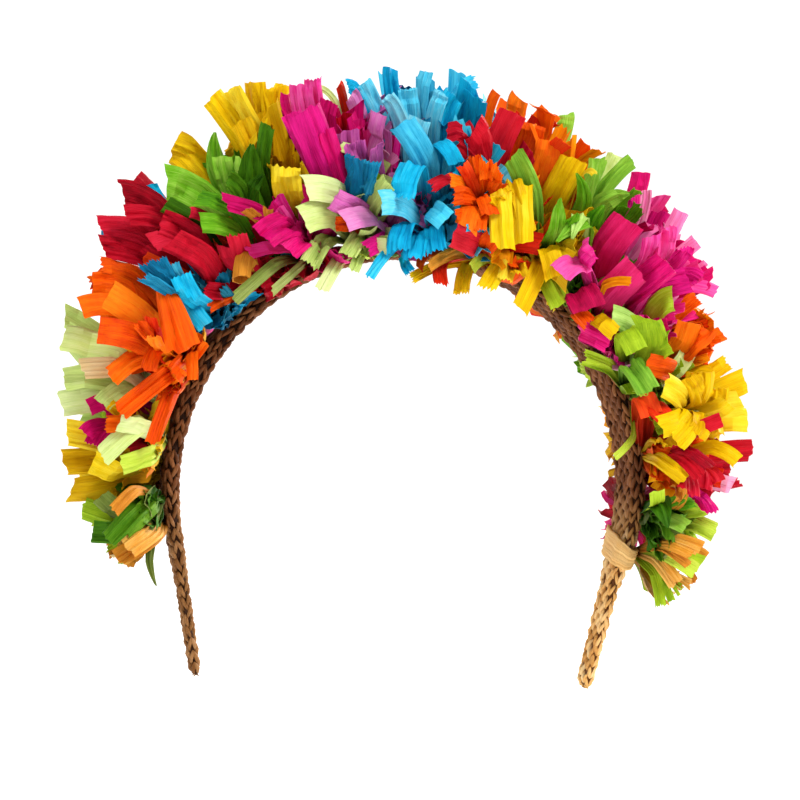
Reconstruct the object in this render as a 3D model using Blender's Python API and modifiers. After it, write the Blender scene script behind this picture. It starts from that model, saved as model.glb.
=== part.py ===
"""Raffia flower headpiece: a crocheted raffia band that arches over the head, with tufts of
cut raffia ribbon tied on it in three rows, a crest row, a front row and a back row.

Units are metres. +Z is up as worn, -Y is the front and +X is the viewer's right. The origin
is the inside of the band at its crown, where it sits on the head.
"""

import math
import random
from collections import namedtuple

import bmesh
import bpy
from mathutils import Vector

# Band: an arc over the head, then two straight legs that lean in towards it
CROWN_RADIUS = 0.081
LEG_LENGTH = 0.0555
LEG_LEAN = math.radians(11)
BAND_WIDTH = 0.030
BAND_END_WIDTH = 0.013
BAND_THICKNESS = 0.007
BAND_END_THICKNESS = 0.0045
BAND_STEP = 0.0075
EDGE_STEPS = 4

# Flowers: how much of each leg they cover and how far they stand out from the inner face
FLOWERED_LEG_LENGTH = 0.0035
FLOWER_RISE_CROWN = 0.0765
FLOWER_RISE_EARS = 0.040
SIDEWAYS_REACH_CROWN = 0.056
SIDEWAYS_REACH_EARS = 0.043

# Knots, which sit on the band's outer face
KNOT_LENGTH = 0.0085
KNOT_HEIGHT = 0.006
CREST_KNOT_WIDTH = 0.008
SIDE_KNOT_WIDTH = 0.0055
SIDE_KNOT_INSET = 0.0015
SIDE_KNOT_DROP = 0.003
KNOT_NARROWING = 0.8

# Ribbons: each is a thick lock halfway out and one flat, cut end
RIBBON_WIDTH = 0.011
RIBBON_THICKNESS = 0.002
LOCK_THICKNESS = 0.0056
LOCK_PLACE = 0.6
THICKEST_SHARE = 0.62
BUNDLE_FILL = 0.9
SHORTEST_RIBBON = 0.82
DOME_DROP = 0.2
RIBBON_TWIST = 0.5
CROSSWISE_CHANCE = 0.4
END_SLANT = 0.35

# Strap of natural raffia round the band under the lowest tuft on the right
STRAP_WIDTH = 0.010
STRAP_THICKNESS = 0.001

CLEARANCE = 0.0003
SEED = 7

# The tufts fan out from a line that runs this far inside the band's inner face
FAN_LINE_DEPTH = 0.002
CREST_HALF_ANGLE = math.radians(29)
SIDE_FIRST_ANGLE = math.radians(32)
SIDE_LAST_ANGLE = math.radians(88)

# The last flowers on each leg hang down more and more, by this angle at the very last
DROOP_LENGTH = 0.034
DROOP_ANGLE = math.radians(28)

# How full the band still is between its crown, 1, and its ends, 0
Section = namedtuple("Section", "along fullness")
BAND_SECTIONS = (
    Section(along=0.00, fullness=1.00),
    Section(along=0.45, fullness=0.96),
    Section(along=0.66, fullness=0.82),
    Section(along=0.75, fullness=0.52),
    Section(along=0.83, fullness=0.14),
    Section(along=1.00, fullness=0.00),
)

# One row for each tuft. place is a share of FLOWERED_HALF_LENGTH from the crown, minus on the
# viewer's left, size is how much of the band it takes beside its neighbours, and reach is a
# share of the distance to the outline
Tuft = namedtuple("Tuft", "place size dye reach")
CREST_TUFTS = (
    Tuft(place=-0.97, size=1.0, dye="natural", reach=1.0),
    Tuft(place=-0.85, size=1.0, dye="gold", reach=1.0),
    Tuft(place=-0.72, size=1.1, dye="pale_green", reach=1.02),
    Tuft(place=-0.59, size=1.1, dye="orange", reach=0.96),
    Tuft(place=-0.455, size=1.3, dye="crimson", reach=1.0),
    Tuft(place=-0.335, size=0.9, dye="leaf_green", reach=0.92),
    Tuft(place=-0.23, size=1.1, dye="yellow", reach=1.02),
    Tuft(place=-0.135, size=0.9, dye="magenta", reach=0.97),
    Tuft(place=-0.07, size=0.7, dye="mauve", reach=0.93),
    Tuft(place=0.02, size=1.6, dye="turquoise", reach=1.02),
    Tuft(place=0.145, size=1.1, dye="scarlet", reach=0.96),
    Tuft(place=0.24, size=1.0, dye="amber", reach=0.94),
    Tuft(place=0.325, size=0.8, dye="leaf_green", reach=0.92),
    Tuft(place=0.45, size=1.8, dye="hot_pink", reach=1.04),
    Tuft(place=0.59, size=0.9, dye="orange", reach=0.97),
    Tuft(place=0.7, size=1.2, dye="yellow", reach=1.02),
    Tuft(place=0.81, size=1.1, dye="crimson", reach=1.04),
    Tuft(place=0.905, size=0.9, dye="lime", reach=0.97),
    Tuft(place=1.0, size=1.0, dye="natural", reach=1.06),
)
FRONT_TUFTS = (
    Tuft(place=-0.92, size=1.0, dye="moss_green", reach=0.96),
    Tuft(place=-0.79, size=1.0, dye="gold", reach=0.98),
    Tuft(place=-0.63, size=1.4, dye="orange", reach=1.06),
    Tuft(place=-0.485, size=0.9, dye="steel_blue", reach=0.9),
    Tuft(place=-0.37, size=0.9, dye="crimson", reach=0.9),
    Tuft(place=-0.26, size=1.2, dye="magenta", reach=1.0),
    Tuft(place=-0.145, size=1.0, dye="pale_green", reach=1.04),
    Tuft(place=-0.055, size=0.7, dye="mauve", reach=0.86),
    Tuft(place=0.05, size=1.4, dye="turquoise", reach=1.08),
    Tuft(place=0.17, size=1.0, dye="orange", reach=0.98),
    Tuft(place=0.27, size=1.0, dye="yellow", reach=1.0),
    Tuft(place=0.38, size=0.9, dye="leaf_green", reach=0.88),
    Tuft(place=0.5, size=1.2, dye="hot_pink", reach=0.98),
    Tuft(place=0.63, size=1.2, dye="lime", reach=1.0),
    Tuft(place=0.77, size=1.0, dye="orange", reach=0.94),
    Tuft(place=0.9, size=1.0, dye="moss_green", reach=0.92),
)
BACK_TUFTS = (
    Tuft(place=-0.9, size=0.9, dye="orange", reach=0.94),
    Tuft(place=-0.73, size=1.1, dye="lime", reach=0.98),
    Tuft(place=-0.56, size=1.2, dye="hot_pink", reach=1.02),
    Tuft(place=-0.4, size=0.9, dye="yellow", reach=0.96),
    Tuft(place=-0.24, size=1.2, dye="turquoise", reach=1.02),
    Tuft(place=-0.08, size=0.9, dye="crimson", reach=0.96),
    Tuft(place=0.08, size=0.9, dye="leaf_green", reach=0.94),
    Tuft(place=0.24, size=1.1, dye="mauve", reach=1.0),
    Tuft(place=0.4, size=1.0, dye="orange", reach=0.96),
    Tuft(place=0.56, size=0.9, dye="lime", reach=0.95),
    Tuft(place=0.73, size=1.2, dye="gold", reach=1.02),
    Tuft(place=0.9, size=1.0, dye="magenta", reach=0.94),
)

# side is 0 for the crest, 1 for the front and -1 for the back
Row = namedtuple("Row", "name side tufts ribbons_along ribbons_across")
ROWS = (
    Row("crest", 0, CREST_TUFTS, ribbons_along=3, ribbons_across=4),
    Row("front", 1, FRONT_TUFTS, ribbons_along=3, ribbons_across=3),
    Row("back", -1, BACK_TUFTS, ribbons_along=3, ribbons_across=3),
)

# Linear RGB
DYES = {
    "natural": (0.66, 0.38, 0.13),
    "gold": (0.78, 0.53, 0.01),
    "yellow": (0.87, 0.62, 0.01),
    "amber": (0.90, 0.35, 0.01),
    "orange": (0.92, 0.16, 0.01),
    "scarlet": (0.78, 0.05, 0.02),
    "crimson": (0.55, 0.01, 0.03),
    "magenta": (0.70, 0.01, 0.20),
    "hot_pink": (0.80, 0.03, 0.30),
    "mauve": (0.65, 0.13, 0.42),
    "turquoise": (0.01, 0.38, 0.66),
    "steel_blue": (0.02, 0.22, 0.42),
    "leaf_green": (0.14, 0.42, 0.02),
    "moss_green": (0.06, 0.20, 0.02),
    "lime": (0.48, 0.65, 0.02),
    "pale_green": (0.55, 0.70, 0.22),
    "crochet": (0.42, 0.22, 0.09),
}

LEG_TURN = math.pi / 2 + LEG_LEAN
CROWN_ARC = CROWN_RADIUS * LEG_TURN
HALF_LENGTH = CROWN_ARC + LEG_LENGTH
FLOWERED_HALF_LENGTH = CROWN_ARC + FLOWERED_LEG_LENGTH
KNOT_REACH = FAN_LINE_DEPTH + BAND_THICKNESS + KNOT_HEIGHT
FRONT = Vector((0, -1, 0))

# The flowers' outline is a circle over the crown and past both ears
EAR_REACH = CROWN_RADIUS + FLOWER_RISE_EARS
OUTLINE_HEIGHT = (FLOWER_RISE_CROWN**2 - EAR_REACH**2 - CROWN_RADIUS**2) / (
    2 * (CROWN_RADIUS + FLOWER_RISE_CROWN)
)
OUTLINE_CENTRE = Vector((0, 0, OUTLINE_HEIGHT))
OUTLINE_RADIUS = FLOWER_RISE_CROWN - OUTLINE_HEIGHT


def clear_scene():
    for old in list(bpy.data.objects):
        bpy.data.objects.remove(old)


def inside_place(distance):
    """Point, outward direction and lengthwise direction of the band's inner face."""
    side = math.copysign(1, distance)
    turn = side * min(abs(distance) / CROWN_RADIUS, LEG_TURN)
    down_leg = side * max(abs(distance) - CROWN_ARC, 0)
    outward = Vector((math.sin(turn), 0, math.cos(turn)))
    lengthwise = Vector((math.cos(turn), 0, -math.sin(turn)))
    point = Vector((0, 0, -CROWN_RADIUS)) + CROWN_RADIUS * outward + down_leg * lengthwise
    return point, outward, lengthwise


def fullness(distance):
    along = min(abs(distance) / HALF_LENGTH, 1)
    for near, far in zip(BAND_SECTIONS, BAND_SECTIONS[1:]):
        if along <= far.along:
            part = (along - near.along) / (far.along - near.along)
            return near.fullness + part * (far.fullness - near.fullness)
    return BAND_SECTIONS[-1].fullness


def band_width(distance):
    return BAND_END_WIDTH + fullness(distance) * (BAND_WIDTH - BAND_END_WIDTH)


def band_thickness(distance):
    return BAND_END_THICKNESS + fullness(distance) * (BAND_THICKNESS - BAND_END_THICKNESS)


def band_section(distance, swell=0):
    """Corners of the band's rounded section, made larger by swell all round."""
    point, outward, _ = inside_place(distance)
    half_width = band_width(distance) / 2 + swell
    thickness = band_thickness(distance) + 2 * swell
    rounding = thickness / 2
    corners = []
    for side, first_turn in ((1, 0), (-1, math.pi)):
        for step in range(EDGE_STEPS + 1):
            turn = first_turn + math.pi * step / EDGE_STEPS
            across = side * (half_width - rounding) + rounding * math.sin(turn)
            height = thickness / 2 - swell + rounding * math.cos(turn)
            corners.append(point + height * outward + across * FRONT)
    return corners


def even_steps(first, last, longest):
    count = math.ceil((last - first) / longest - 1e-9)
    return [first + (last - first) * step / count for step in range(count + 1)]


def new_object(name, bm, dye):
    bmesh.ops.recalc_face_normals(bm, faces=bm.faces)
    mesh = bpy.data.meshes.new(name)
    bm.to_mesh(mesh)
    bm.free()
    mesh.materials.append(MATERIALS[dye])
    piece = bpy.data.objects.new(name, mesh)
    PIECES.objects.link(piece)
    return piece


def loft(rings, capped):
    """A mesh through rings of corners, each ring joined to the next."""
    bm = bmesh.new()
    placed = [[bm.verts.new(corner) for corner in ring] for ring in rings]
    for near, far in zip(placed, placed[1:]):
        for here in range(len(near)):
            there = (here + 1) % len(near)
            bm.faces.new((near[here], near[there], far[there], far[here]))
    if capped:
        bm.faces.new(placed[0])
        bm.faces.new(placed[-1])
    return bm


def build_band():
    places = even_steps(-HALF_LENGTH, HALF_LENGTH, BAND_STEP)
    bm = loft([band_section(place) for place in places], capped=True)
    band = new_object("crochet_band", bm, "crochet")
    band.data.shade_smooth()
    band.data.set_sharp_from_angle(angle=math.radians(50))


def strap_middle():
    return CREST_TUFTS[-1].place * FLOWERED_HALF_LENGTH


def build_strap():
    middle = strap_middle()
    places = even_steps(middle - STRAP_WIDTH / 2, middle + STRAP_WIDTH / 2, STRAP_WIDTH / 2)
    bm = loft([band_section(place, swell=CLEARANCE) for place in places], capped=False)
    strap = new_object("binding_strap", bm, "natural")
    wall = strap.modifiers.new("Strap wall", "SOLIDIFY")
    wall.thickness = STRAP_THICKNESS
    wall.offset = 1
    wall.use_even_offset = True


def droop(distance):
    """How far a flower at this place hangs down, as an angle towards the band's end."""
    drooping = max(abs(distance) - (FLOWERED_HALF_LENGTH - DROOP_LENGTH), 0)
    return math.copysign(DROOP_ANGLE * drooping / DROOP_LENGTH, distance)


def fan_place(distance, lean, reach):
    """Point that far along the band, reach away from the fan line and leaning to the front."""
    inside, outward, lengthwise = inside_place(distance)
    straight = math.cos(lean) * outward + math.sin(lean) * FRONT
    crosswise = -math.sin(lean) * outward + math.cos(lean) * FRONT
    down = droop(distance)
    heading = math.cos(down) * straight + math.sin(down) * lengthwise
    level = math.cos(down) * lengthwise - math.sin(down) * straight
    knot_top = inside - FAN_LINE_DEPTH * outward + KNOT_REACH * straight
    return knot_top + (reach - KNOT_REACH) * heading, heading, level, crosswise


def outline_reach(distance):
    """How far the outline circle lies from the fan line, with no lean."""
    knot_top, heading, _, _ = fan_place(distance, 0, KNOT_REACH)
    offset = knot_top - OUTLINE_CENTRE
    along = offset.dot(heading)
    beyond = math.sqrt(along**2 - offset.length_squared + OUTLINE_RADIUS**2) - along
    return KNOT_REACH + beyond


def full_reach(distance, lean):
    """The flowers' outer shape: an oval round the fan line."""
    straight = outline_reach(distance)
    down = min(abs(distance) / FLOWERED_HALF_LENGTH, 1)
    sideways = SIDEWAYS_REACH_CROWN + down * (SIDEWAYS_REACH_EARS - SIDEWAYS_REACH_CROWN)
    return 1 / math.hypot(math.cos(lean) / straight, math.sin(lean) / sideways)


def spread(distance, lean, reach):
    """How much wider apart flowers are at this reach than on the band's inner face."""
    bend = 1 / CROWN_RADIUS if abs(distance) <= CROWN_ARC else 0
    bent = 1 + bend * (reach * math.cos(lean) - FAN_LINE_DEPTH)
    down = abs(droop(distance))
    fanned = (reach - KNOT_REACH) * DROOP_ANGLE / DROOP_LENGTH if down else 0
    return bent * math.cos(down) + fanned


def row_bounds(tufts):
    """Where each tuft's share of the row begins and ends along the band."""
    between = []
    for near, far in zip(tufts, tufts[1:]):
        share = near.size / (near.size + far.size)
        between.append((near.place + share * (far.place - near.place)) * FLOWERED_HALF_LENGTH)
    first = 2 * tufts[0].place * FLOWERED_HALF_LENGTH - between[0]
    last = 2 * tufts[-1].place * FLOWERED_HALF_LENGTH - between[-1]
    return list(zip([first] + between, between + [last]))


def row_leans(side):
    if side == 0:
        return -CREST_HALF_ANGLE, CREST_HALF_ANGLE
    return tuple(sorted((side * SIDE_FIRST_ANGLE, side * SIDE_LAST_ANGLE)))


def shares(first, last, count, item):
    step = (last - first) / count
    return first + item * step, first + (item + 1) * step


def knot_width(side, middle, height, at_foot):
    """Where a knot begins and ends across the band, at this height over its inner face."""
    if side == 0:
        half = CREST_KNOT_WIDTH / 2 * (KNOT_NARROWING if at_foot else 1)
        return -half, half
    inner = (height + FAN_LINE_DEPTH) * math.tan(SIDE_FIRST_ANGLE)
    outer = band_width(middle) / 2 - SIDE_KNOT_INSET if at_foot else inner + SIDE_KNOT_WIDTH
    return inner, outer


def build_knot(bm, row, middle, lift):
    """The tied root. Its outer face is a grid, and each of its squares roots one ribbon."""
    along, across = row.ribbons_along, row.ribbons_across
    bmesh.ops.create_grid(bm, x_segments=along, y_segments=across, size=0.5)
    grid = []
    for face in bm.faces:
        centre = face.calc_center_median()
        grid.append((face, int((centre.x + 0.5) * along), int((centre.y + 0.5) * across)))
    rim = [edge for edge in bm.edges if edge.is_boundary]
    walls = bmesh.ops.extrude_edge_only(bm, edges=rim)["geom"]
    foot = [item for item in walls if isinstance(item, bmesh.types.BMVert)]
    bmesh.ops.contextual_create(bm, geom=[edge for edge in bm.edges if edge.is_boundary])
    for corner in bm.verts:
        at_foot = corner in foot
        share_along, share_across = corner.co.x, corner.co.y + 0.5
        outward_share = share_across if row.side >= 0 else 1 - share_across
        distance = middle + share_along * KNOT_LENGTH * (KNOT_NARROWING if at_foot else 1)
        height = band_thickness(distance) + lift + (CLEARANCE if at_foot else KNOT_HEIGHT)
        inner, outer = knot_width(row.side, middle, height, at_foot)
        across_here = (row.side or 1) * (inner + outward_share * (outer - inner))
        drop = 0 if at_foot else abs(row.side) * outward_share * SIDE_KNOT_DROP
        inside, outward, _ = inside_place(distance)
        corner.co = inside + (height - drop) * outward + across_here * FRONT
    return grid


def ribbon_ring(distance, lean, reach, room_along, room_across, thickness, turn, slant):
    """Four corners of a flat ribbon, kept inside the room that it has."""
    point, heading, lengthwise, crosswise = fan_place(distance, lean, reach)
    thickness = min(thickness, THICKEST_SHARE * min(room_along, room_across))
    flat = math.cos(turn) * lengthwise + math.sin(turn) * crosswise
    thick = -math.sin(turn) * lengthwise + math.cos(turn) * crosswise
    spare_along = room_along - thickness * abs(math.sin(turn))
    spare_across = room_across - thickness * abs(math.cos(turn))
    filled = RIBBON_WIDTH * max(
        abs(math.cos(turn)) / spare_along,
        abs(math.sin(turn)) / spare_across,
    )
    width = RIBBON_WIDTH / max(filled, 1)
    return {
        (u, v): point + u * width / 2 * (flat + slant * heading) + v * thickness / 2 * thick
        for u in (-1, 1)
        for v in (-1, 1)
    }


def move_face(face, ring):
    """Moves the face's corners to the ring's, turned so that each goes to a near one."""
    corners = [ring[key] for key in ((-1, -1), (1, -1), (1, 1), (-1, 1))]
    turned = [corners[start:] + corners[:start] for start in range(4)]
    held = list(face.verts)
    nearest = min(
        turned,
        key=lambda path: sum((vert.co - spot).length for vert, spot in zip(held, path)),
    )
    for vert, spot in zip(held, nearest):
        vert.co = spot


def build_tuft(row, number, tuft, bounds, chance):
    middle = tuft.place * FLOWERED_HALF_LENGTH
    lift = STRAP_THICKNESS + CLEARANCE if row.side == 0 and middle == strap_middle() else 0
    bm = bmesh.new()
    grid = build_knot(bm, row, middle, lift)
    leans = row_leans(row.side)
    for face, along_item, across_item in grid:
        starts = shares(*bounds, row.ribbons_along, along_item)
        angles = shares(*leans, row.ribbons_across, across_item)
        distance, lean = sum(starts) / 2, sum(angles) / 2
        off_middle = 2 * (along_item + 0.5) / row.ribbons_along - 1
        dome = 1 - DOME_DROP * off_middle**2
        longest = full_reach(distance, lean) * tuft.reach * dome
        reach = longest * chance.uniform(SHORTEST_RIBBON, 1)
        turn = chance.uniform(-RIBBON_TWIST, RIBBON_TWIST)
        if chance.random() < CROSSWISE_CHANCE:
            turn += math.pi / 2
        slant = chance.uniform(-END_SLANT, END_SLANT)
        rings = ((LOCK_PLACE, LOCK_THICKNESS, 0), (1, RIBBON_THICKNESS, slant))
        for share, thickness, end_slant in rings:
            here = share * reach
            room_along = (starts[1] - starts[0]) * spread(distance, lean, here) * BUNDLE_FILL
            room_across = (angles[1] - angles[0]) * here * BUNDLE_FILL
            ring = ribbon_ring(
                distance, lean, here, room_along, room_across, thickness, turn, end_slant
            )
            face = bmesh.ops.extrude_discrete_faces(bm, faces=[face])["faces"][0]
            move_face(face, ring)
    new_object(f"{row.name}_tuft_{number:02d}_{tuft.dye}", bm, tuft.dye)


def build_material(dye, colour):
    material = bpy.data.materials.new(dye)
    material.use_nodes = True
    shader = material.node_tree.nodes["Principled BSDF"]
    shader.inputs["Base Color"].default_value = (*colour, 1)
    shader.inputs["Roughness"].default_value = 0.75
    shader.inputs["Metallic"].default_value = 0
    material.diffuse_color = (*colour, 1)
    return material


clear_scene()
PIECES = bpy.data.collections.new("raffia_flower_headpiece")
bpy.context.scene.collection.children.link(PIECES)
MATERIALS = {dye: build_material(dye, colour) for dye, colour in DYES.items()}
build_band()
build_strap()
CHANCE = random.Random(SEED)
for tuft_row in ROWS:
    row_limits = row_bounds(tuft_row.tufts)
    for count, (one, limits) in enumerate(zip(tuft_row.tufts, row_limits), start=1):
        build_tuft(tuft_row, count, one, limits, CHANCE)
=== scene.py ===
# %% [markdown]
# Raffia flower headpiece
#
# The real thing is a crocheted raffia band that arches over the head, with forty-seven tufts of
# cut, dyed raffia ribbon tied on its outer side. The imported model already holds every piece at
# its true place: a smooth band, a strap, and for each tuft a knot with a bundle of flat locks.
# This notebook dresses them. It reads where each lock starts and ends, and grows the thin
# ribbons of the real tuft along it, so no lock's place is typed in twice. Then it adds, one by
# one, the ribbons that anyone would look for.

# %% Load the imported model
import math
from collections import namedtuple

import bmesh
import bpy
import numpy as np
from mathutils import Matrix, Vector
from mathutils.bvhtree import BVHTree


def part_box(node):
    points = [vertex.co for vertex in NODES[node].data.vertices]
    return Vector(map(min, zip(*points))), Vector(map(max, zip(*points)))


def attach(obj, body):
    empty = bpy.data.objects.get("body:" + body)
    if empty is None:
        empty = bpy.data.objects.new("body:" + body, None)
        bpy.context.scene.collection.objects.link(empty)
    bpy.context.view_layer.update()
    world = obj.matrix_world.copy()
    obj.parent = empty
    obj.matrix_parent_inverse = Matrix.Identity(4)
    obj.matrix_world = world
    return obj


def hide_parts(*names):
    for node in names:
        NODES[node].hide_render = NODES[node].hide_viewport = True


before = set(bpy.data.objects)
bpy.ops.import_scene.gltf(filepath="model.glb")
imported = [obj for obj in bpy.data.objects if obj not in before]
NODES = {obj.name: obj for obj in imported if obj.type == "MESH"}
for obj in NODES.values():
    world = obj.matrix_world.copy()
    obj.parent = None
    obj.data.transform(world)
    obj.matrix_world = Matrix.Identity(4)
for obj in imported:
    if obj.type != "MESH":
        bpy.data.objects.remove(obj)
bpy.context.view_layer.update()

MM = 0.001
QUARTER_TURN = math.pi / 2
TUFTS = sorted(name for name in NODES if "_tuft_" in name)

# %% [markdown]
# Camera
#
# The photograph looks at the headpiece from the front, a little from the viewer's left and
# almost level, and the band sits a few degrees askew, which is a roll of the camera here. The
# camera comes first because the ribbons that show best are placed by their pixel in the
# photograph. photo_point turns a pixel and a depth in front of the band into a point in metres.

# %% Camera at the photograph's angle
PHOTO_SIZE = 800
LOOK_AT = Vector((-0.003, 0, -0.0502))
AZIMUTH = math.radians(-10.5)
ELEVATION = math.radians(1.5)
ROLL = math.radians(3.3)
DISTANCE = 0.88
FIELD_WIDTH = 0.287
SENSOR_WIDTH = 36

TOWARDS_CAMERA = Vector(
    (
        math.sin(AZIMUTH) * math.cos(ELEVATION),
        -math.cos(AZIMUTH) * math.cos(ELEVATION),
        math.sin(ELEVATION),
    )
)
EYE = LOOK_AT + DISTANCE * TOWARDS_CAMERA
LOOK = TOWARDS_CAMERA.to_track_quat("Z", "Y").to_matrix() @ Matrix.Rotation(ROLL, 3, "Z")


def add_camera():
    lens = bpy.data.cameras.new("photo_camera")
    lens.sensor_width = SENSOR_WIDTH
    lens.lens = SENSOR_WIDTH * DISTANCE / FIELD_WIDTH
    camera = bpy.data.objects.new("photo_camera", lens)
    camera.matrix_world = Matrix.Translation(EYE) @ LOOK.to_4x4()
    bpy.context.scene.collection.objects.link(camera)
    bpy.context.scene.camera = camera


def photo_point(pixel_x, pixel_y, forward):
    """The point that shows at this pixel, forward metres in front of the band's middle plane."""
    per_pixel = FIELD_WIDTH / DISTANCE / PHOTO_SIZE
    across = (pixel_x - PHOTO_SIZE / 2) * per_pixel
    down = (pixel_y - PHOTO_SIZE / 2) * per_pixel
    ray = LOOK @ Vector((across, -down, -1))
    return EYE + ray * ((-forward - EYE.y) / ray.y)


add_camera()
print("camera at", [round(value, 3) for value in EYE])

# %% [markdown]
# Floor, backdrop and light
#
# A photo studio sweeps one sheet of paper from the floor up the wall, so that no horizon shows.
# Here it is a grid whose rows are moved in code: they lie flat, go round a quarter turn, and
# then straight up. Paper under strong light comes out almost white, so its material also gives
# back a little light of its own. The light on the piece is soft: a pale world, a lamp in front on
# the right, a weak wide one on the left, and a lamp behind on the right that shines through the
# thin ribbons, which is why that side of the headpiece glows.

# %% Paper material
PAPER_WHITE = (0.82, 0.82, 0.82, 1)
PAPER_ROUGHNESS = 0.9
PAPER_GLOSS = 0.1
PAPER_GLOW = 0.34


def paper_material():
    """Matte white paper that gives back a little light of its own."""
    material = bpy.data.materials.new("studio_paper")
    material.use_nodes = True
    finish = material.node_tree.nodes["Principled BSDF"]
    finish.inputs["Base Color"].default_value = PAPER_WHITE
    finish.inputs["Roughness"].default_value = PAPER_ROUGHNESS
    finish.inputs["Specular IOR Level"].default_value = PAPER_GLOSS
    finish.inputs["Emission Color"].default_value = (1, 1, 1, 1)
    finish.inputs["Emission Strength"].default_value = PAPER_GLOW
    return material


# %% Paper sweep
FLOOR_HEIGHT = -0.235
PAPER_WIDTH = 6.0
PAPER_DEPTH = 3.2
PAPER_RISE = 2.6
PAPER_ROWS = 48
SWEEP_START = 0.9
SWEEP_RADIUS = 0.9


def deselect_all():
    if bpy.context.object and bpy.context.object.mode != "OBJECT":
        bpy.ops.object.mode_set(mode="OBJECT")
    bpy.ops.object.select_all(action="DESELECT")


def swept(x, y):
    """Where a corner of the flat sheet, at -0.5 to 0.5 each way, lies on the sweep."""
    depth = (y + 0.5) * (PAPER_DEPTH + PAPER_RISE) - PAPER_DEPTH + SWEEP_START
    beyond = max(depth - SWEEP_START, 0)
    turn = min(beyond / SWEEP_RADIUS, QUARTER_TURN)
    rise = SWEEP_RADIUS * (1 - math.cos(turn)) + max(beyond - SWEEP_RADIUS * QUARTER_TURN, 0)
    back = min(depth, SWEEP_START) + SWEEP_RADIUS * math.sin(turn)
    return x * PAPER_WIDTH, back, FLOOR_HEIGHT + rise


def add_paper():
    deselect_all()
    bpy.ops.mesh.primitive_grid_add(
        x_subdivisions=2, y_subdivisions=PAPER_ROWS, size=1, location=(0, 0, 0)
    )
    paper = bpy.context.object
    paper.name = "studio_paper"
    for corner in paper.data.vertices:
        corner.co = swept(corner.co.x, corner.co.y)
    bpy.ops.object.shade_smooth()
    paper.data.materials.append(paper_material())
    return paper


PAPER = add_paper()
print("paper sweep with", len(PAPER.data.polygons), "faces")

# %% Lamps and world
Lamp = namedtuple("Lamp", "name place size watts colour")
LAMPS = (
    Lamp("key_lamp", (0.50, -0.85, 0.85), 0.45, 14.0, (1.0, 0.98, 0.95)),
    Lamp("back_lamp", (0.75, 0.55, 0.35), 0.5, 18.0, (1.0, 0.97, 0.92)),
    Lamp("fill_lamp", (-0.9, -0.7, 0.3), 0.9, 4.5, (0.95, 0.97, 1.0)),
)
WORLD_LIGHT = 0.52


def add_lamp(lamp):
    light = bpy.data.lights.new(lamp.name, "AREA")
    light.energy = lamp.watts
    light.size = lamp.size
    light.color = lamp.colour
    holder = bpy.data.objects.new(lamp.name, light)
    holder.location = lamp.place
    aim = Vector(lamp.place) - LOOK_AT
    holder.rotation_euler = aim.to_track_quat("Z", "Y").to_euler()
    bpy.context.scene.collection.objects.link(holder)


def add_world():
    world = bpy.data.worlds.new("studio_world")
    world.use_nodes = True
    sky = world.node_tree.nodes["Background"]
    sky.inputs["Color"].default_value = (1, 1, 1, 1)
    sky.inputs["Strength"].default_value = WORLD_LIGHT
    bpy.context.scene.world = world


for one_lamp in LAMPS:
    add_lamp(one_lamp)
add_world()
bpy.context.scene.view_settings.view_transform = "Standard"
print(len(LAMPS), "lamps")

# %% [markdown]
# Shader maths as plain expressions
#
# Node trees are hard to read as code when each multiplication takes four lines. Socket wraps an
# output and turns +, - and * into Math nodes, so a mask can be written as it would be on paper.
# Shader.node makes any other node: its settings first, then the values or links of its inputs.
# A Mix node has one set of sockets for numbers, one for vectors and one for colours, all with the
# same names, so its colour sockets are reached by their number.

# %% Socket: an output that takes part in sums
class Socket:
    """A node's output on which +, - and * add Math nodes."""

    def __init__(self, shader, output):
        self.shader = shader
        self.output = output

    def math(self, operation, first, second):
        made = self.shader.node("Math", {"operation": operation}, {0: first, 1: second})
        return made["Value"]

    def __add__(self, other):
        return self.math("ADD", self, other)

    def __radd__(self, other):
        return self.math("ADD", other, self)

    def __sub__(self, other):
        return self.math("SUBTRACT", self, other)

    def __rsub__(self, other):
        return self.math("SUBTRACT", other, self)

    def __mul__(self, other):
        return self.math("MULTIPLY", self, other)

    def __rmul__(self, other):
        return self.math("MULTIPLY", other, self)


# %% Shader: a material's node tree
COLOUR_INPUTS = (6, 7)
COLOUR_OUTPUT = 2


class Made(dict):
    """A node's outputs by name, with the node itself."""

    def __init__(self, shader, node):
        super().__init__({out.name: Socket(shader, out) for out in node.outputs})
        self.node = node


class Shader:
    """One material and the nodes in it."""

    def __init__(self, name):
        self.material = bpy.data.materials.new(name)
        self.material.use_nodes = True
        self.tree = self.material.node_tree
        self.tree.nodes.clear()

    def node(self, kind, settings=None, inputs=None):
        """Adds a node of this kind. settings are set before inputs, which are values or Sockets."""
        added = self.tree.nodes.new("ShaderNode" + kind)
        for key, value in (settings or {}).items():
            if key == "stops":
                self.set_stops(added.color_ramp, value)
            else:
                setattr(added, key, value)
        for key, value in (inputs or {}).items():
            if isinstance(value, Socket):
                self.tree.links.new(value.output, added.inputs[key])
            else:
                added.inputs[key].default_value = value
        return Made(self, added)

    def set_stops(self, ramp, stops):
        while len(ramp.elements) > len(stops):
            ramp.elements.remove(ramp.elements[-1])
        while len(ramp.elements) < len(stops):
            ramp.elements.new(1)
        for element, (place, colour) in zip(ramp.elements, stops):
            element.position = place
            element.color = colour

    def mix_colours(self, factor, first, second):
        sockets = {"Factor": factor, **dict(zip(COLOUR_INPUTS, (first, second)))}
        made = self.node("Mix", {"data_type": "RGBA"}, sockets)
        return Socket(self, made.node.outputs[COLOUR_OUTPUT])

    def finish(self, surface):
        self.node("OutputMaterial", {}, {"Surface": surface})
        return self.material


def opaque(colour):
    return (*colour[:3], 1)


print("shader helpers ready")

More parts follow.
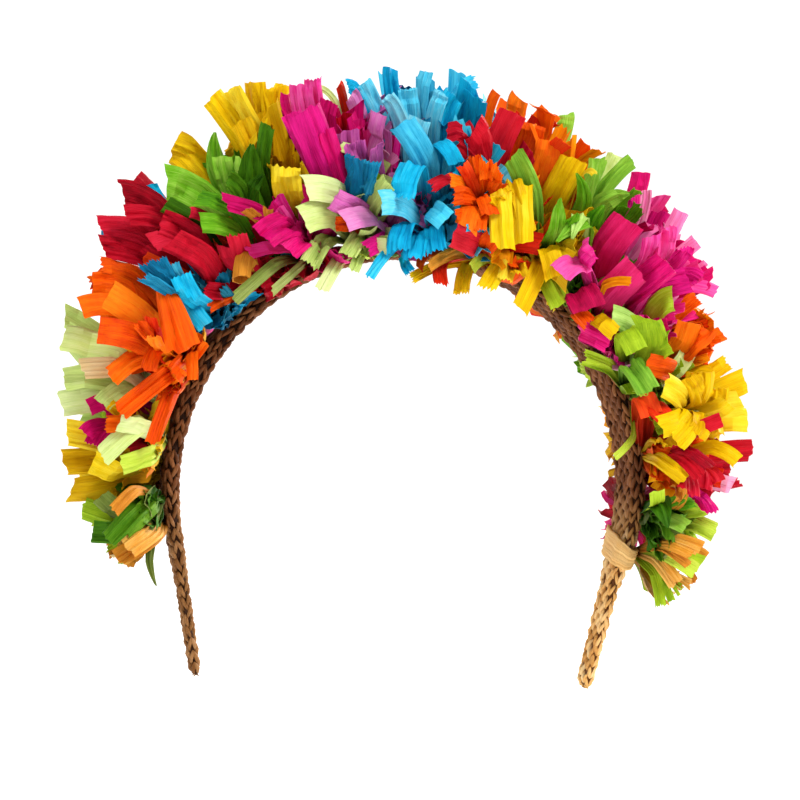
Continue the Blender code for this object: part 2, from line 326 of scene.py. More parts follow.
# %% [markdown]
# Dyed raffia
#
# Raffia is a leaf fibre: a thin papery ribbon with fine streaks along its length, dyed a little
# unevenly, matte with a faint sheen, and thin enough to glow when light comes from behind. The
# streaks must follow each ribbon, so they read the ribbon's own UV map, whose x runs across it
# and whose y runs along it, in centimetres. Each ribbon of a tuft has its own lane in x, twenty
# centimetres apart, and a white noise of the lane's number gives each ribbon its own shade. A
# ribbon is darker near its knot, where little light gets in.

# %% Dyes, with their deep and their bleached tone
Dye = namedtuple("Dye", "body deep pale")
DYES = {
    "natural": Dye((0.80, 0.335, 0.032), (0.50, 0.155, 0.012), (0.93, 0.58, 0.15)),
    "straw": Dye((0.92, 0.68, 0.29), (0.80, 0.53, 0.19), (0.98, 0.86, 0.52)),
    "gold": Dye((0.78, 0.48, 0.002), (0.50, 0.22, 0.001), (0.90, 0.68, 0.02)),
    "yellow": Dye((0.90, 0.62, 0.001), (0.66, 0.33, 0.001), (0.96, 0.78, 0.05)),
    "amber": Dye((0.94, 0.36, 0.001), (0.72, 0.15, 0.001), (0.96, 0.56, 0.01)),
    "orange": Dye((0.96, 0.13, 0.001), (0.66, 0.030, 0.001), (1.00, 0.27, 0.006)),
    "scarlet": Dye((0.82, 0.028, 0.004), (0.42, 0.005, 0.003), (0.96, 0.10, 0.012)),
    "crimson": Dye((0.56, 0.003, 0.020), (0.22, 0.001, 0.008), (0.76, 0.018, 0.055)),
    "cherry": Dye((0.60, 0.004, 0.017), (0.28, 0.001, 0.008), (0.78, 0.022, 0.045)),
    "raspberry": Dye((0.60, 0.003, 0.085), (0.30, 0.001, 0.038), (0.78, 0.025, 0.18)),
    "magenta": Dye((0.76, 0.003, 0.17), (0.40, 0.001, 0.08), (0.90, 0.05, 0.32)),
    "hot_pink": Dye((0.86, 0.012, 0.28), (0.56, 0.003, 0.15), (0.95, 0.14, 0.48)),
    "blush": Dye((0.92, 0.24, 0.53), (0.74, 0.08, 0.32), (0.98, 0.55, 0.75)),
    "mauve": Dye((0.70, 0.13, 0.47), (0.38, 0.040, 0.27), (0.86, 0.34, 0.65)),
    "sky": Dye((0.09, 0.64, 0.87), (0.02, 0.38, 0.64), (0.36, 0.84, 0.95)),
    "turquoise": Dye((0.005, 0.51, 0.80), (0.001, 0.25, 0.52), (0.12, 0.74, 0.92)),
    "steel_blue": Dye((0.003, 0.22, 0.42), (0.002, 0.07, 0.17), (0.06, 0.46, 0.64)),
    "leaf_green": Dye((0.16, 0.46, 0.010), (0.030, 0.17, 0.004), (0.44, 0.70, 0.10)),
    "spring_green": Dye((0.30, 0.58, 0.050), (0.11, 0.32, 0.018), (0.60, 0.82, 0.24)),
    "moss_green": Dye((0.065, 0.21, 0.004), (0.016, 0.080, 0.002), (0.18, 0.37, 0.018)),
    "lime": Dye((0.45, 0.64, 0.022), (0.20, 0.36, 0.006), (0.66, 0.81, 0.10)),
    "olive": Dye((0.20, 0.27, 0.045), (0.07, 0.11, 0.015), (0.42, 0.48, 0.15)),
    "pale_green": Dye((0.64, 0.78, 0.24), (0.36, 0.52, 0.09), (0.82, 0.90, 0.46)),
}
print(len(DYES), "dyes")

# %% Streaks along a ribbon
GRAIN_MAP = "ribbon_grain"
LANE = 20.0
Streak = namedtuple("Streak", "across along detail share")
FIBRE = Streak(across=34, along=0.8, detail=3, share=0.34)
BROAD = Streak(across=7, along=0.30, detail=2, share=0.26)
PATCH = Streak(across=1.2, along=1.1, detail=2, share=0.18)
OWN_SHARE = 0.30
TONE_SHIFT = 0.04
TONE_STOPS = (0.28, 0.48, 0.70)


def read_grain(shader):
    """Places across and along the ribbon, in centimetres, and the number of its lane."""
    grain = shader.node("UVMap", {"uv_map": GRAIN_MAP})["UV"]
    parts = shader.node("SeparateXYZ", {}, {0: grain})
    lane = shader.node("Math", {"operation": "FLOOR"}, {0: parts["X"] * (1 / LANE)})["Value"]
    return parts["X"], parts["Y"], lane


def streaks(shader, grain, streak):
    """Noise that repeats so often in a centimetre across the ribbon, and along it."""
    across, along, lane = grain
    place = shader.node(
        "CombineXYZ", {}, {0: across * streak.across, 1: along * streak.along, 2: lane}
    )["Vector"]
    inputs = {"Vector": place, "Scale": 1, "Detail": streak.detail}
    return shader.node("TexNoise", {}, inputs)["Fac"]


def dyed(shader, dye, tone):
    """The dye from its deep tone over its body to its pale one, as tone goes up."""
    tones = (dye.deep, dye.body, dye.pale)
    stops = [(place, opaque(colour)) for place, colour in zip(TONE_STOPS, tones)]
    return shader.node("ValToRGB", {"stops": stops}, {"Fac": tone})["Color"]


def eased(shader, value, start, end, low, high):
    """low where value is at start, high where it is at end, and a soft step between."""
    reach = {"Value": value, "From Min": start, "From Max": end, "To Min": low, "To Max": high}
    return shader.node("MapRange", {"interpolation_type": "SMOOTHSTEP"}, reach)["Result"]


# %% Raffia material
KNOT_SHADE = 0.7
KNOT_START, KNOT_END = 0.2, 2.8
KNOT_TONE = 0.30
LIT_TOP, LIT_FOOT = -0.075, -0.115
LIT_LEFT, LIT_RIGHT = -0.05, 0.05
LEFT_SHARE = 0.18
FIBRE_RELIEF = 0.7
RELIEF_DEPTH = 0.0007
RELIEF_STRENGTH = 0.8
SMOOTHEST = 0.40
ROUGHER = 0.34
SHINE_THROUGH = 0.17
GLOSS = 0.10


def painted_light_mask(shader):
    """Painted light: the band's lower ends, most of all on the right, where the twine is painted as
    if lit more brightly.
    """
    place = shader.node("TexCoord")["Object"]
    place = shader.node("SeparateXYZ", {}, {0: place})
    low_down = eased(shader, place["Z"], LIT_TOP, LIT_FOOT, 0, 1)
    return low_down * eased(shader, place["X"], LIT_LEFT, LIT_RIGHT, LEFT_SHARE, 1)


def raffia_material(name, dye, knot_shade=KNOT_SHADE, lit_colours=None):
    """Streaked, faintly glossy raffia that darkens to knot_shade towards its knot.

    A second set of colours, if given, is a lit copy: painted light that takes over at the band's
    lower ends, most of all on the right.
    """
    shader = Shader(name)
    grain = read_grain(shader)
    fibre, broad, patches = (streaks(shader, grain, streak) for streak in (FIBRE, BROAD, PATCH))
    own = shader.node("TexWhiteNoise", {"noise_dimensions": "1D"}, {"W": grain[2]})["Value"]
    tone = fibre * FIBRE.share + broad * BROAD.share + patches * PATCH.share
    tone = tone + own * OWN_SHARE - TONE_SHIFT
    shade = dyed(shader, dye, tone)
    # Painted light: the lit copy of the colours is painted in at the band's lower ends.
    if lit_colours:
        shade = shader.mix_colours(painted_light_mask(shader), shade, dyed(shader, lit_colours, tone))
    knot = eased(shader, grain[1], KNOT_START, KNOT_END, knot_shade, 0)
    shade = shader.mix_colours(knot, shade, opaque(tuple(KNOT_TONE * part for part in dye.deep)))
    relief = {
        "Height": fibre * FIBRE_RELIEF + broad,
        "Distance": RELIEF_DEPTH,
        "Strength": RELIEF_STRENGTH,
    }
    finish = {
        "Base Color": shade,
        "Roughness": SMOOTHEST + ROUGHER * fibre,
        "Specular IOR Level": GLOSS,
        "Normal": shader.node("Bump", {}, relief)["Normal"],
    }
    paper = shader.node("BsdfPrincipled", {}, finish)["BSDF"]
    glow = shader.node("BsdfTranslucent", {}, {"Color": shade})["BSDF"]
    both = shader.node("MixShader", {}, {0: SHINE_THROUGH, 1: paper, 2: glow})["Shader"]
    material = shader.finish(both)
    material.diffuse_color = opaque(dye.body)
    return material


RAFFIA = {dye: raffia_material(f"raffia_{dye}", tones) for dye, tones in DYES.items()}
print(len(RAFFIA), "dyed raffia materials")

# %% [markdown]
# Reading the tufts
#
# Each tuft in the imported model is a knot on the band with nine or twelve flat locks. A lock is
# two rings of four corners: one halfway, one at its cut end. They could be typed in again, but
# the mesh already knows them. A corner with no neighbour further from the knot's foot is on a
# cut end, its other neighbours are the ring halfway, and theirs are the lock's root on the knot.
# Python hands out a set of corners in another order on each run, so whatever depends on their
# order takes them by their number.

# %% Corners and their neighbours
SAME_CORNER = 0.00002


def welded(node):
    """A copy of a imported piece's mesh with its doubled corners merged."""
    shape = bmesh.new()
    shape.from_mesh(NODES[node].data)
    bmesh.ops.remove_doubles(shape, verts=shape.verts, dist=SAME_CORNER)
    shape.verts.index_update()
    return shape


def in_order(corners):
    """Corners by their number, because Python hands a set out in another order on each run."""
    return sorted(corners, key=lambda corner: corner.index)


def middle_of(corners):
    return sum((corner.co for corner in in_order(corners)), Vector()) / len(corners)


def next_to(corners):
    """All the corners that share an edge with one of these."""
    return {edge.other_vert(corner) for corner in corners for edge in corner.link_edges}


# %% Locks of every tuft
Lock = namedtuple("Lock", "root tip flat")
FURTHER_OUT = 0.006
BEYOND_KNOT = 0.017
FOOT_GAP = 0.0006
WIDE_SIDE = 1


def foot_of(shape, band_tree):
    """The middle of the knot's foot, which lies closest to the band."""
    gaps = {corner: band_tree.find_nearest(corner.co)[3] for corner in shape.verts}
    nearest = min(gaps.values())
    return middle_of([corner for corner, gap in gaps.items() if gap < nearest + FOOT_GAP])


def cut_ends(shape, foot):
    """The corners of all cut ends, which are well past the knot with none further out."""
    far = {corner: (corner.co - foot).length for corner in shape.verts}
    return {
        corner
        for corner in shape.verts
        if far[corner] > BEYOND_KNOT
        and all(far[other] < far[corner] + FURTHER_OUT for other in next_to([corner]))
    }


def read_lock(end):
    """A lock, from the four corners of its cut end: a thin side, a wide one and a diagonal."""
    ring = next_to(end) - end
    roots = next_to(ring) - end - ring
    start, *others = in_order(end)
    sides = sorted((other.co - start.co for other in others), key=lambda side: side.length)
    return Lock(root=middle_of(roots), tip=middle_of(end), flat=sides[WIDE_SIDE].normalized())


def read_tuft(node, band_tree):
    """The tuft's foot and its locks."""
    shape = welded(node)
    foot = foot_of(shape, band_tree)
    ends = cut_ends(shape, foot)
    locks = []
    while ends:
        end = {in_order(ends)[0]}
        for _ in range(2):
            end |= next_to(end) & ends
        ends -= end
        locks.append(read_lock(end))
    shape.free()
    locks.sort(key=lambda lock: tuple(round(value, 5) for value in lock.tip))
    return foot, locks


def read_tufts():
    band = welded("crochet_band")
    band_tree = BVHTree.FromBMesh(band)
    found = {node: read_tuft(node, band_tree) for node in TUFTS}
    band.free()
    return found


LOCKS = read_tufts()
print(sum(len(locks) for _, locks in LOCKS.values()), "locks in", len(LOCKS), "tufts")
print("locks in a tuft:", sorted({len(locks) for _, locks in LOCKS.values()}))

# %% [markdown]
# Ribbon blanks
#
# A raffia ribbon is a flat strip. Some lie flat, some keep the pleats they were pressed in, some
# are torn at the cut end, some are folded once along the middle, some of those are cut to a long
# blade, and the narrow ones roll up into a quill. Each kind is modelled once as a blank: a strip
# one unit wide and one unit long. It starts as a grid at y 0 to 1 and x -0.5 to 0.5, is folded in
# edit mode by moving chosen corners, and gets a wall by Solidify. Only the quill starts as an
# open cylinder, cut into rings so that it can bend. An operator acts on all that is selected, so
# everything is deselected before corners are picked. Real width, length and bend come later,
# when the blank is laid along a line. There are two finenesses: plain blanks for the two
# thousand grown ribbons, and fine ones for those placed one by one, which are seen best.

# %% How each kind of strip is folded
ON_FOLD = 0.1
ON_EDGE = 0.45
ON_CUT_END = 0.96
ON_CORNER = 0.3
Nudge = namedtuple("Nudge", "corners move")
NUDGES = {
    "flat": (
        Nudge(lambda place, column: abs(place.x) > ON_EDGE, (0, 0, -0.045)),
        Nudge(lambda place, column: abs(place.x) < ON_FOLD, (0, 0, 0.02)),
    ),
    "pleated": (
        Nudge(lambda place, column: column % 2, (0, 0, 0.045)),
        Nudge(lambda place, column: column in (2, 6), (0, 0, -0.03)),
        Nudge(lambda place, column: place.y > ON_CUT_END and place.x < -ON_FOLD, (0, -0.03, 0)),
    ),
    "torn": (
        Nudge(lambda place, column: column % 2, (0, 0, 0.04)),
        Nudge(lambda place, column: place.y > ON_CUT_END and column % 2, (0, -0.022, 0)),
        Nudge(lambda place, column: place.y > ON_CUT_END and column == 2, (0, 0.015, 0)),
        Nudge(lambda place, column: place.y > ON_CUT_END and column == 5, (0, -0.03, 0)),
    ),
    "folded": (
        Nudge(lambda place, column: abs(place.x) < ON_FOLD, (0, 0, 0.12)),
        Nudge(lambda place, column: abs(place.x) > ON_EDGE, (0, 0, -0.07)),
        Nudge(lambda place, column: place.y > ON_CUT_END and place.x > ON_CORNER, (0, -0.04, 0)),
    ),
    "blade": (Nudge(lambda place, column: abs(place.x) < ON_FOLD, (0, 0, 0.14)),),
}
print({kind: len(nudges) for kind, nudges in NUDGES.items()}, "nudges for each kind")

# %% Modelling a strip
BLANK_WALL = 0.020
POINT_START = 0.45
POINT_NARROWING = 0.88
POINT_CURVE = 1.3
ON_ROW = 0.3
Blank = namedtuple("Blank", "corners faces")


def pick_corners(blank, chosen):
    """Selects, in edit mode, only the corners whose place passes the test."""
    bpy.ops.mesh.select_all(action="DESELECT")
    bpy.ops.object.mode_set(mode="OBJECT")
    for corner in blank.data.vertices:
        corner.select = bool(chosen(corner.co))
    bpy.ops.object.mode_set(mode="EDIT")


def give_wall(blank, thickness, offset):
    bpy.ops.object.mode_set(mode="OBJECT")
    wall = blank.modifiers.new("Wall", "SOLIDIFY")
    wall.thickness = thickness
    wall.offset = offset
    bpy.ops.object.modifier_apply(modifier=wall.name)


def cut_to_point(blank, rows):
    """Narrows the rows of a strip one by one, from POINT_START to its cut end."""
    for height in np.linspace(0, 1, rows + 1):
        past = max(0, (height - POINT_START) / (1 - POINT_START))
        narrow = 1 - POINT_NARROWING * past**POINT_CURVE
        pick_corners(blank, lambda place, height=height: abs(place.y - height) < ON_ROW / rows)
        bpy.ops.transform.resize(
            value=(float(narrow), 1, 1), center_override=(0, float(height), 0)
        )


def take_blank(model):
    """Reads a modelled blank into arrays and removes its object."""
    corners = np.array([corner.co[:] for corner in model.data.vertices])
    faces = [tuple(face.vertices) for face in model.data.polygons]
    bpy.data.objects.remove(model)
    return Blank(corners, faces)


def strip_blank(kind, columns, rows):
    deselect_all()
    bpy.ops.mesh.primitive_grid_add(
        x_subdivisions=columns, y_subdivisions=rows, size=1, location=(0, 0.5, 0)
    )
    blank = bpy.context.object
    blank.name = kind + "_ribbon"
    bpy.ops.object.transform_apply(location=True)
    bpy.ops.object.mode_set(mode="EDIT")
    bpy.ops.mesh.select_mode(type="VERT")
    for nudge in NUDGES[kind]:
        pick_corners(
            blank,
            lambda place, nudge=nudge: nudge.corners(place, round((place.x + 0.5) * columns)),
        )
        bpy.ops.transform.translate(value=nudge.move)
    if kind == "blade":
        cut_to_point(blank, rows)
    give_wall(blank, BLANK_WALL, offset=0)
    return take_blank(blank)


# %% Modelling the quill
ROLL_SIDES = 7
ROLL_RINGS = np.linspace(0.15, 0.85, 5)
ROLL_WALL = 3 * BLANK_WALL


def lying_cylinder(name, sides, radius, length, middle, caps, rings):
    """A cylinder along Y, cut into rings by bisect and left in edit mode."""
    deselect_all()
    bpy.ops.mesh.primitive_cylinder_add(
        vertices=sides, radius=radius, depth=length, end_fill_type=caps, location=(0, middle, 0)
    )
    cylinder = bpy.context.object
    cylinder.name = name
    cylinder.rotation_euler = (QUARTER_TURN, 0, 0)
    bpy.ops.object.transform_apply(location=True, rotation=True)
    bpy.ops.object.mode_set(mode="EDIT")
    for place in rings:
        bpy.ops.mesh.select_all(action="SELECT")
        bpy.ops.mesh.bisect(plane_co=(0, float(place), 0), plane_no=(0, 1, 0))
    return cylinder


def rolled_blank():
    blank = lying_cylinder("rolled_ribbon", ROLL_SIDES, 0.5, 1, 0.5, "NOTHING", ROLL_RINGS)
    bpy.ops.mesh.select_all(action="SELECT")
    bpy.ops.mesh.normals_make_consistent(inside=False)
    give_wall(blank, ROLL_WALL, offset=-1)
    return take_blank(blank)


# %% All blanks
PLAIN_KINDS = ("flat", "pleated", "torn", "folded")
PLAIN_GRID = (6, 8)
FINE_GRID = (10, 13)
BLANKS = {kind: strip_blank(kind, *PLAIN_GRID) for kind in PLAIN_KINDS}
BLANKS |= {"fine_" + kind: strip_blank(kind, *FINE_GRID) for kind in NUDGES}
BLANKS["rolled"] = rolled_blank()
print({name: len(blank.faces) for name, blank in BLANKS.items()}, "faces in each blank")

# %% [markdown]
# Laying a ribbon along a line
#
# A ribbon's middle line is sampled at a few stations. At each one the line has a direction, and
# the flat side is carried from station to station so that it turns only as far as it must, as a
# strip of paper does. A blank's corner at (x, y, z) then goes to the station y, x widths along
# the flat side and z widths along the face normal. Raffia is stiff and dry, so it also keeps
# sharp folds where it was pressed, a few along it and a few across, and its cut end is ragged.
# All ribbons of one kind in a tuft are laid at once with numpy, because there are some two
# thousand of them.

# %% Lines that a ribbon follows
STATIONS = 21
LEAST_REACH = 0.3 * STATIONS
BEND_CRISPNESS = 0.65
WIDEST_AT = 0.35
NO_LENGTH = 1e-9
Ribbon = namedtuple(
    "Ribbon",
    "kind dye line flat width root_width twist cup slant ripple widest_at",
    defaults=(WIDEST_AT,),
)


def unit(vectors):
    lengths = np.linalg.norm(vectors, axis=-1, keepdims=True)
    return vectors / np.maximum(lengths, NO_LENGTH)


def bent_line(base, tip, flat, curl, late, sweep):
    """A line from base to tip that turns by curl about its flat side, most of it late."""
    base, tip, flat = (np.array(part, float) for part in (base, tip, flat))
    share = np.linspace(0, 1, STATIONS)
    chord = unit(tip - base)
    flat = unit(flat - flat.dot(chord) * chord)
    face = np.cross(flat, chord)
    turn = curl * (share**late - 1 / (late + 1))
    side = sweep * (share - 0.5)
    headings = (
        np.cos(turn)[:, None] * chord + np.sin(turn)[:, None] * face + np.sin(side)[:, None] * flat
    )
    headings = unit(headings)
    steps = (headings[1:] + headings[:-1]) / 2
    run = np.vstack([np.zeros(3), np.cumsum(steps, axis=0)])
    reach = max(float(run[-1].dot(chord)), LEAST_REACH)
    return base + run * (np.linalg.norm(tip - base) / reach), flat


def line_through(base, via, tip):
    """A line from base past via to tip, straight for the most part and bent at via."""
    base, via, tip = (np.array(part, float) for part in (base, via, tip))
    share = np.linspace(0, 1, STATIONS)[:, None]
    pull = 2 * via - (base + tip) / 2
    smooth = (1 - share) ** 2 * base + 2 * share * (1 - share) * pull + share**2 * tip
    first = np.clip(2 * share, 0, 1)
    second = np.clip(2 * share - 1, 0, 1)
    bent = base + (via - base) * first + (tip - via) * second
    return BEND_CRISPNESS * bent + (1 - BEND_CRISPNESS) * smooth


# %% Frames along a line
def carried_frames(lines, flats):
    """Flat side and face normal at each station of each line."""
    headings = unit(np.gradient(lines, axis=1))
    sides = np.empty_like(lines)
    side = flats
    for station in range(STATIONS):
        heading = headings[:, station]
        side = unit(side - (side * heading).sum(1, keepdims=True) * heading)
        sides[:, station] = side
    return headings, sides, np.cross(sides, headings)


def at_share(samples, share):
    """samples of each line read at each ribbon's own share of its length."""
    place = np.clip(share, 0, 1) * (STATIONS - 1)
    below = np.minimum(place.astype(int), STATIONS - 2)
    part = (place - below)[..., None]
    rows = np.arange(len(samples))[:, None]
    return samples[rows, below] * (1 - part) + samples[rows, below + 1] * part


# %% Folds that a ribbon was pressed into
CREASE_LINES = 9
CREASE_HEIGHT = 0.030
LONG_FOLDS = 3
LONG_FOLD = 0.10
LONG_FOLD_LEAN = 0.10
LONG_FOLD_PLACES = (-0.42, 0.42)
LONG_FOLD_PIVOT = 0.6
LONG_FOLD_REACH = 0.22
CROSS_FOLDS = 2
CROSS_FOLD = 0.12
CROSS_FOLD_LEAN = 0.5
CROSS_FOLD_PLACES = (0.45, 0.95)
CROSS_FOLD_REACH = 0.65
Pressed = namedtuple("Pressed", "lengthwise crosswise")
PRESSED = {
    "flat": Pressed(0.6, 0.8),
    "pleated": Pressed(1.4, 0.3),
    "torn": Pressed(1.3, 1.5),
    "folded": Pressed(1.0, 0.7),
    "blade": Pressed(0.4, 0.5),
    "rolled": Pressed(0.0, 0.0),
}
CREASE_SEED = 23
CREASES = np.random.default_rng(CREASE_SEED)


def across_creases(values, across):
    """values, given at even lines across each ribbon, read at each corner of the blank."""
    place = (across[0] + 0.5) * (CREASE_LINES - 1)
    left = np.clip(place.astype(int), 0, CREASE_LINES - 2)
    part = place - left
    return values[:, left] * (1 - part) + values[:, left + 1] * part


def pressed_folds(pressed, across, run, aspect):
    """Straight folds pressed into each ribbon, some nearly lengthwise and some across it."""
    count = (len(aspect), 1)
    lift = 0
    for _ in range(LONG_FOLDS):
        lean = CREASES.normal(0, LONG_FOLD_LEAN, count)
        place = CREASES.uniform(*LONG_FOLD_PLACES, count)
        height = CREASES.normal(0, LONG_FOLD * pressed.lengthwise, count)
        away = np.abs(across - place - lean * (run - LONG_FOLD_PIVOT * aspect))
        lift = lift + height * np.clip(1 - away / LONG_FOLD_REACH, 0, 1)
    for _ in range(CROSS_FOLDS):
        lean = CREASES.normal(0, CROSS_FOLD_LEAN, count)
        place = CREASES.uniform(*CROSS_FOLD_PLACES, count) * aspect
        height = CREASES.normal(0, CROSS_FOLD * pressed.crosswise, count)
        away = np.abs(run - place + lean * across)
        lift = lift + height * np.clip(1 - away / CROSS_FOLD_REACH, 0, 1)
    return lift


# %% Laying all ribbons of one kind
RIPPLES = 1.6
RIPPLE_SHIFT = 7
GATHERING = 0.8
RAGGED_END = 1.0 * MM
RAGGED_FROM = 0.97
SLANTED_PART = 0.4
ROOT_BOWL = 0.4
CM_PER_M = 100


def lay(blank, ribbons, first_lane):
    """Corners and UVs of this blank laid along each ribbon's line."""
    fields = ("line", "flat", "width", "root_width", "twist", "cup", "slant", "ripple", "widest_at")
    pick = {field: np.array([getattr(one, field) for one in ribbons]) for field in fields}
    pressed = PRESSED[ribbons[0].kind.removeprefix("fine_")]
    lines = pick.pop("line")
    headings, sides, faces = carried_frames(lines, pick.pop("flat"))
    lengths = np.linalg.norm(np.diff(lines, axis=1), axis=2).sum(1)[:, None]
    width, root, twist, cup, slant, ripple, widest_at = (
        pick[field][:, None] for field in fields[2:]
    )
    across, along, height = blank.corners.T[:, None, :]
    shape = (len(ribbons), CREASE_LINES)
    crease = across_creases(CREASES.normal(0, CREASE_HEIGHT, shape), across)
    frayed = across_creases(CREASES.uniform(-1, 0, shape), across) * RAGGED_END
    cut = slant * across * width * np.clip(1 - (1 - along) / SLANTED_PART, 0, 1)
    share = along + (cut + frayed * (along > RAGGED_FROM)) / lengths
    beyond = np.maximum(share - 1, 0) * lengths
    centre = at_share(lines, share) + beyond[..., None] * headings[:, -1:, :]
    side, face = at_share(sides, share), at_share(faces, share)
    turn = (twist * share)[..., None]
    side, face = (
        np.cos(turn) * side + np.sin(turn) * face,
        np.cos(turn) * face - np.sin(turn) * side,
    )
    opened = np.clip(share / widest_at, 0, 1)
    opened = opened * opened * (3 - 2 * opened)
    wide = width * (root + (1 - root) * opened)
    gathered = 1 + GATHERING * (1 - opened) * (1 - root)
    bowl = cup * (0.25 - across**2) * (ROOT_BOWL + (1 - ROOT_BOWL) * share)
    wave = ripple * np.sin(2 * math.pi * (RIPPLES * share + across + RIPPLE_SHIFT * twist))
    folds = pressed_folds(pressed, across, share * lengths / width, lengths / width)
    lift = (height * gathered + bowl + wave + crease + folds * opened) * wide
    corners = centre + (across * wide)[..., None] * side + lift[..., None] * face
    lanes = (first_lane + np.arange(len(ribbons)))[:, None] * LANE
    grain_across = (across + 0.5) * width * CM_PER_M + lanes
    return corners, np.stack([grain_across, share * lengths * CM_PER_M], axis=-1)


# %% One mesh for each tuft
RIBBON_CREASE = math.radians(24)


def copied_faces(blank, first, copies):
    """The blank's faces for its copies, whose corners are numbered on from first."""
    size = len(blank.corners)
    starts = range(first, first + copies * size, size)
    return [tuple(corner + start for corner in face) for start in starts for face in blank.faces]


def new_mesh(name, corners, faces, grain, materials):
    """A smooth mesh with its grain map, from arrays with a row for each corner."""
    mesh = bpy.data.meshes.new(name)
    mesh.from_pydata(corners.tolist(), [], faces)
    where = np.empty(len(mesh.loops), int)
    mesh.loops.foreach_get("vertex_index", where)
    layer = mesh.uv_layers.new(name=GRAIN_MAP)
    layer.data.foreach_set("uv", grain[where].ravel())
    for material in materials:
        mesh.materials.append(material)
    mesh.shade_smooth()
    return mesh


def tuft_mesh(name, ribbons):
    corners, grains, faces, dyes = [], [], [], []
    first_corner = first_lane = 0
    for kind, blank in BLANKS.items():
        chosen = [ribbon for ribbon in ribbons if ribbon.kind == kind]
        if not chosen:
            continue
        placed, grain = lay(blank, chosen, first_lane)
        corners.append(placed.reshape(-1, 3))
        grains.append(grain.reshape(-1, 2))
        faces += copied_faces(blank, first_corner, len(chosen))
        dyes += [ribbon.dye for ribbon in chosen for _ in blank.faces]
        first_corner += len(chosen) * len(blank.corners)
        first_lane += len(chosen)
    used = sorted(set(dyes))
    mesh = new_mesh(
        name,
        np.concatenate(corners),
        faces,
        np.concatenate(grains),
        [RAFFIA[dye] for dye in used],
    )
    mesh.polygons.foreach_set("material_index", [used.index(dye) for dye in dyes])
    mesh.set_sharp_from_angle(angle=RIBBON_CREASE)
    return mesh


print("ribbons are laid on", STATIONS, "stations")

# %% [markdown]
# Finding the way round the band
#
# The stitches follow the band wherever it goes, so they need a map of it: how far along it, how
# far round its section, and how high off its surface. The band is a round arch with two straight
# legs that close in a little towards their ends. Its thickness and width change along the way,
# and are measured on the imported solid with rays, so that the crochet always fits the piece that
# it dresses. Its section is a strip with two round edges.

# %% The band's line
CROWN_RADIUS = 0.081
LEG_LENGTH = 0.0555
LEG_LEAN = math.radians(11)
LEG_TURN = QUARTER_TURN + LEG_LEAN
CROWN_ARC = CROWN_RADIUS * LEG_TURN
HALF_LENGTH = CROWN_ARC + LEG_LENGTH
ACROSS = np.array([0.0, 1.0, 0.0])


def inner_face(distance):
    """Points, outward and lengthwise directions of the band's inner face at these distances."""
    side = np.where(distance < 0, -1.0, 1.0)
    turn = side * np.minimum(np.abs(distance) / CROWN_RADIUS, LEG_TURN)
    down = (side * np.maximum(np.abs(distance) - CROWN_ARC, 0))[..., None]
    level = np.zeros_like(turn)
    outward = np.stack([np.sin(turn), level, np.cos(turn)], -1)
    lengthwise = np.stack([np.cos(turn), level, -np.sin(turn)], -1)
    point = CROWN_RADIUS * (outward - np.array([0, 0, 1.0])) + down * lengthwise
    return point, outward, lengthwise


print("band is", round(2 * HALF_LENGTH / MM), "mm long")

# %% The band's section
MEASURED_END = 0.995
MEASURED_COUNT = 61
MEASURED_PLACES = np.linspace(-MEASURED_END, MEASURED_END, MEASURED_COUNT) * HALF_LENGTH
CLEAR_ABOVE = 0.03
CLEAR_ASIDE = 0.05


def measure_band():
    """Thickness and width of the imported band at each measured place."""
    shape = welded("crochet_band")
    tree = BVHTree.FromBMesh(shape)
    thickness, width = [], []
    for point, outward, _ in zip(*inner_face(MEASURED_PLACES)):
        start = Vector(point + CLEAR_ABOVE * outward)
        top = tree.ray_cast(start, Vector(-outward))[0]
        thick = float(np.dot(np.array(top) - point, outward))
        middle = point + thick / 2 * outward
        edge = tree.ray_cast(Vector(middle - CLEAR_ASIDE * ACROSS), Vector(ACROSS))[0]
        thickness.append(thick)
        width.append(-2 * edge.y)
    shape.free()
    return np.array(thickness), np.array(width)


BAND_THICKNESSES, BAND_WIDTHS = measure_band()


def section_at(distance):
    thick = np.interp(distance, MEASURED_PLACES, BAND_THICKNESSES)
    wide = np.interp(distance, MEASURED_PLACES, BAND_WIDTHS)
    return thick / 2, wide - thick


def girth(distance):
    radius, flat = section_at(distance)
    return 2 * flat + 2 * math.pi * radius


def on_band(distance, around, height):
    """Points by distance along the band, share of the way round it, and height off it."""
    point, outward, _ = inner_face(distance)
    radius, flat = section_at(distance)
    run = (around % 1) * girth(distance)
    half, bend = flat / 2, math.pi * radius
    back_turn = (run - half) / radius
    front_turn = (run - half - bend - flat) / radius
    zones = [run < half, run < half + bend, run < 3 * half + bend, run < 3 * half + 2 * bend]
    still = np.zeros_like(run)
    side_part = np.select(zones, [still, np.sin(back_turn), still, -np.sin(front_turn)], 0.0)
    rise_part = np.select(
        zones, [still + 1, np.cos(back_turn), still - 1, -np.cos(front_turn)], 1.0
    )
    along_flat = np.select(
        zones,
        [run, half, 2 * half + bend - run, -half],
        run - 4 * half - 2 * bend,
    )
    sideways = along_flat + (radius + height) * side_part
    rise = radius + (radius + height) * rise_part
    return point + rise[..., None] * outward + sideways[..., None] * ACROSS


WIDEST, NARROWEST = (round(width / MM, 1) for width in (BAND_WIDTHS.max(), BAND_WIDTHS.min()))
print("band is", WIDEST, "mm wide at the crown and", NARROWEST, "mm at its ends")
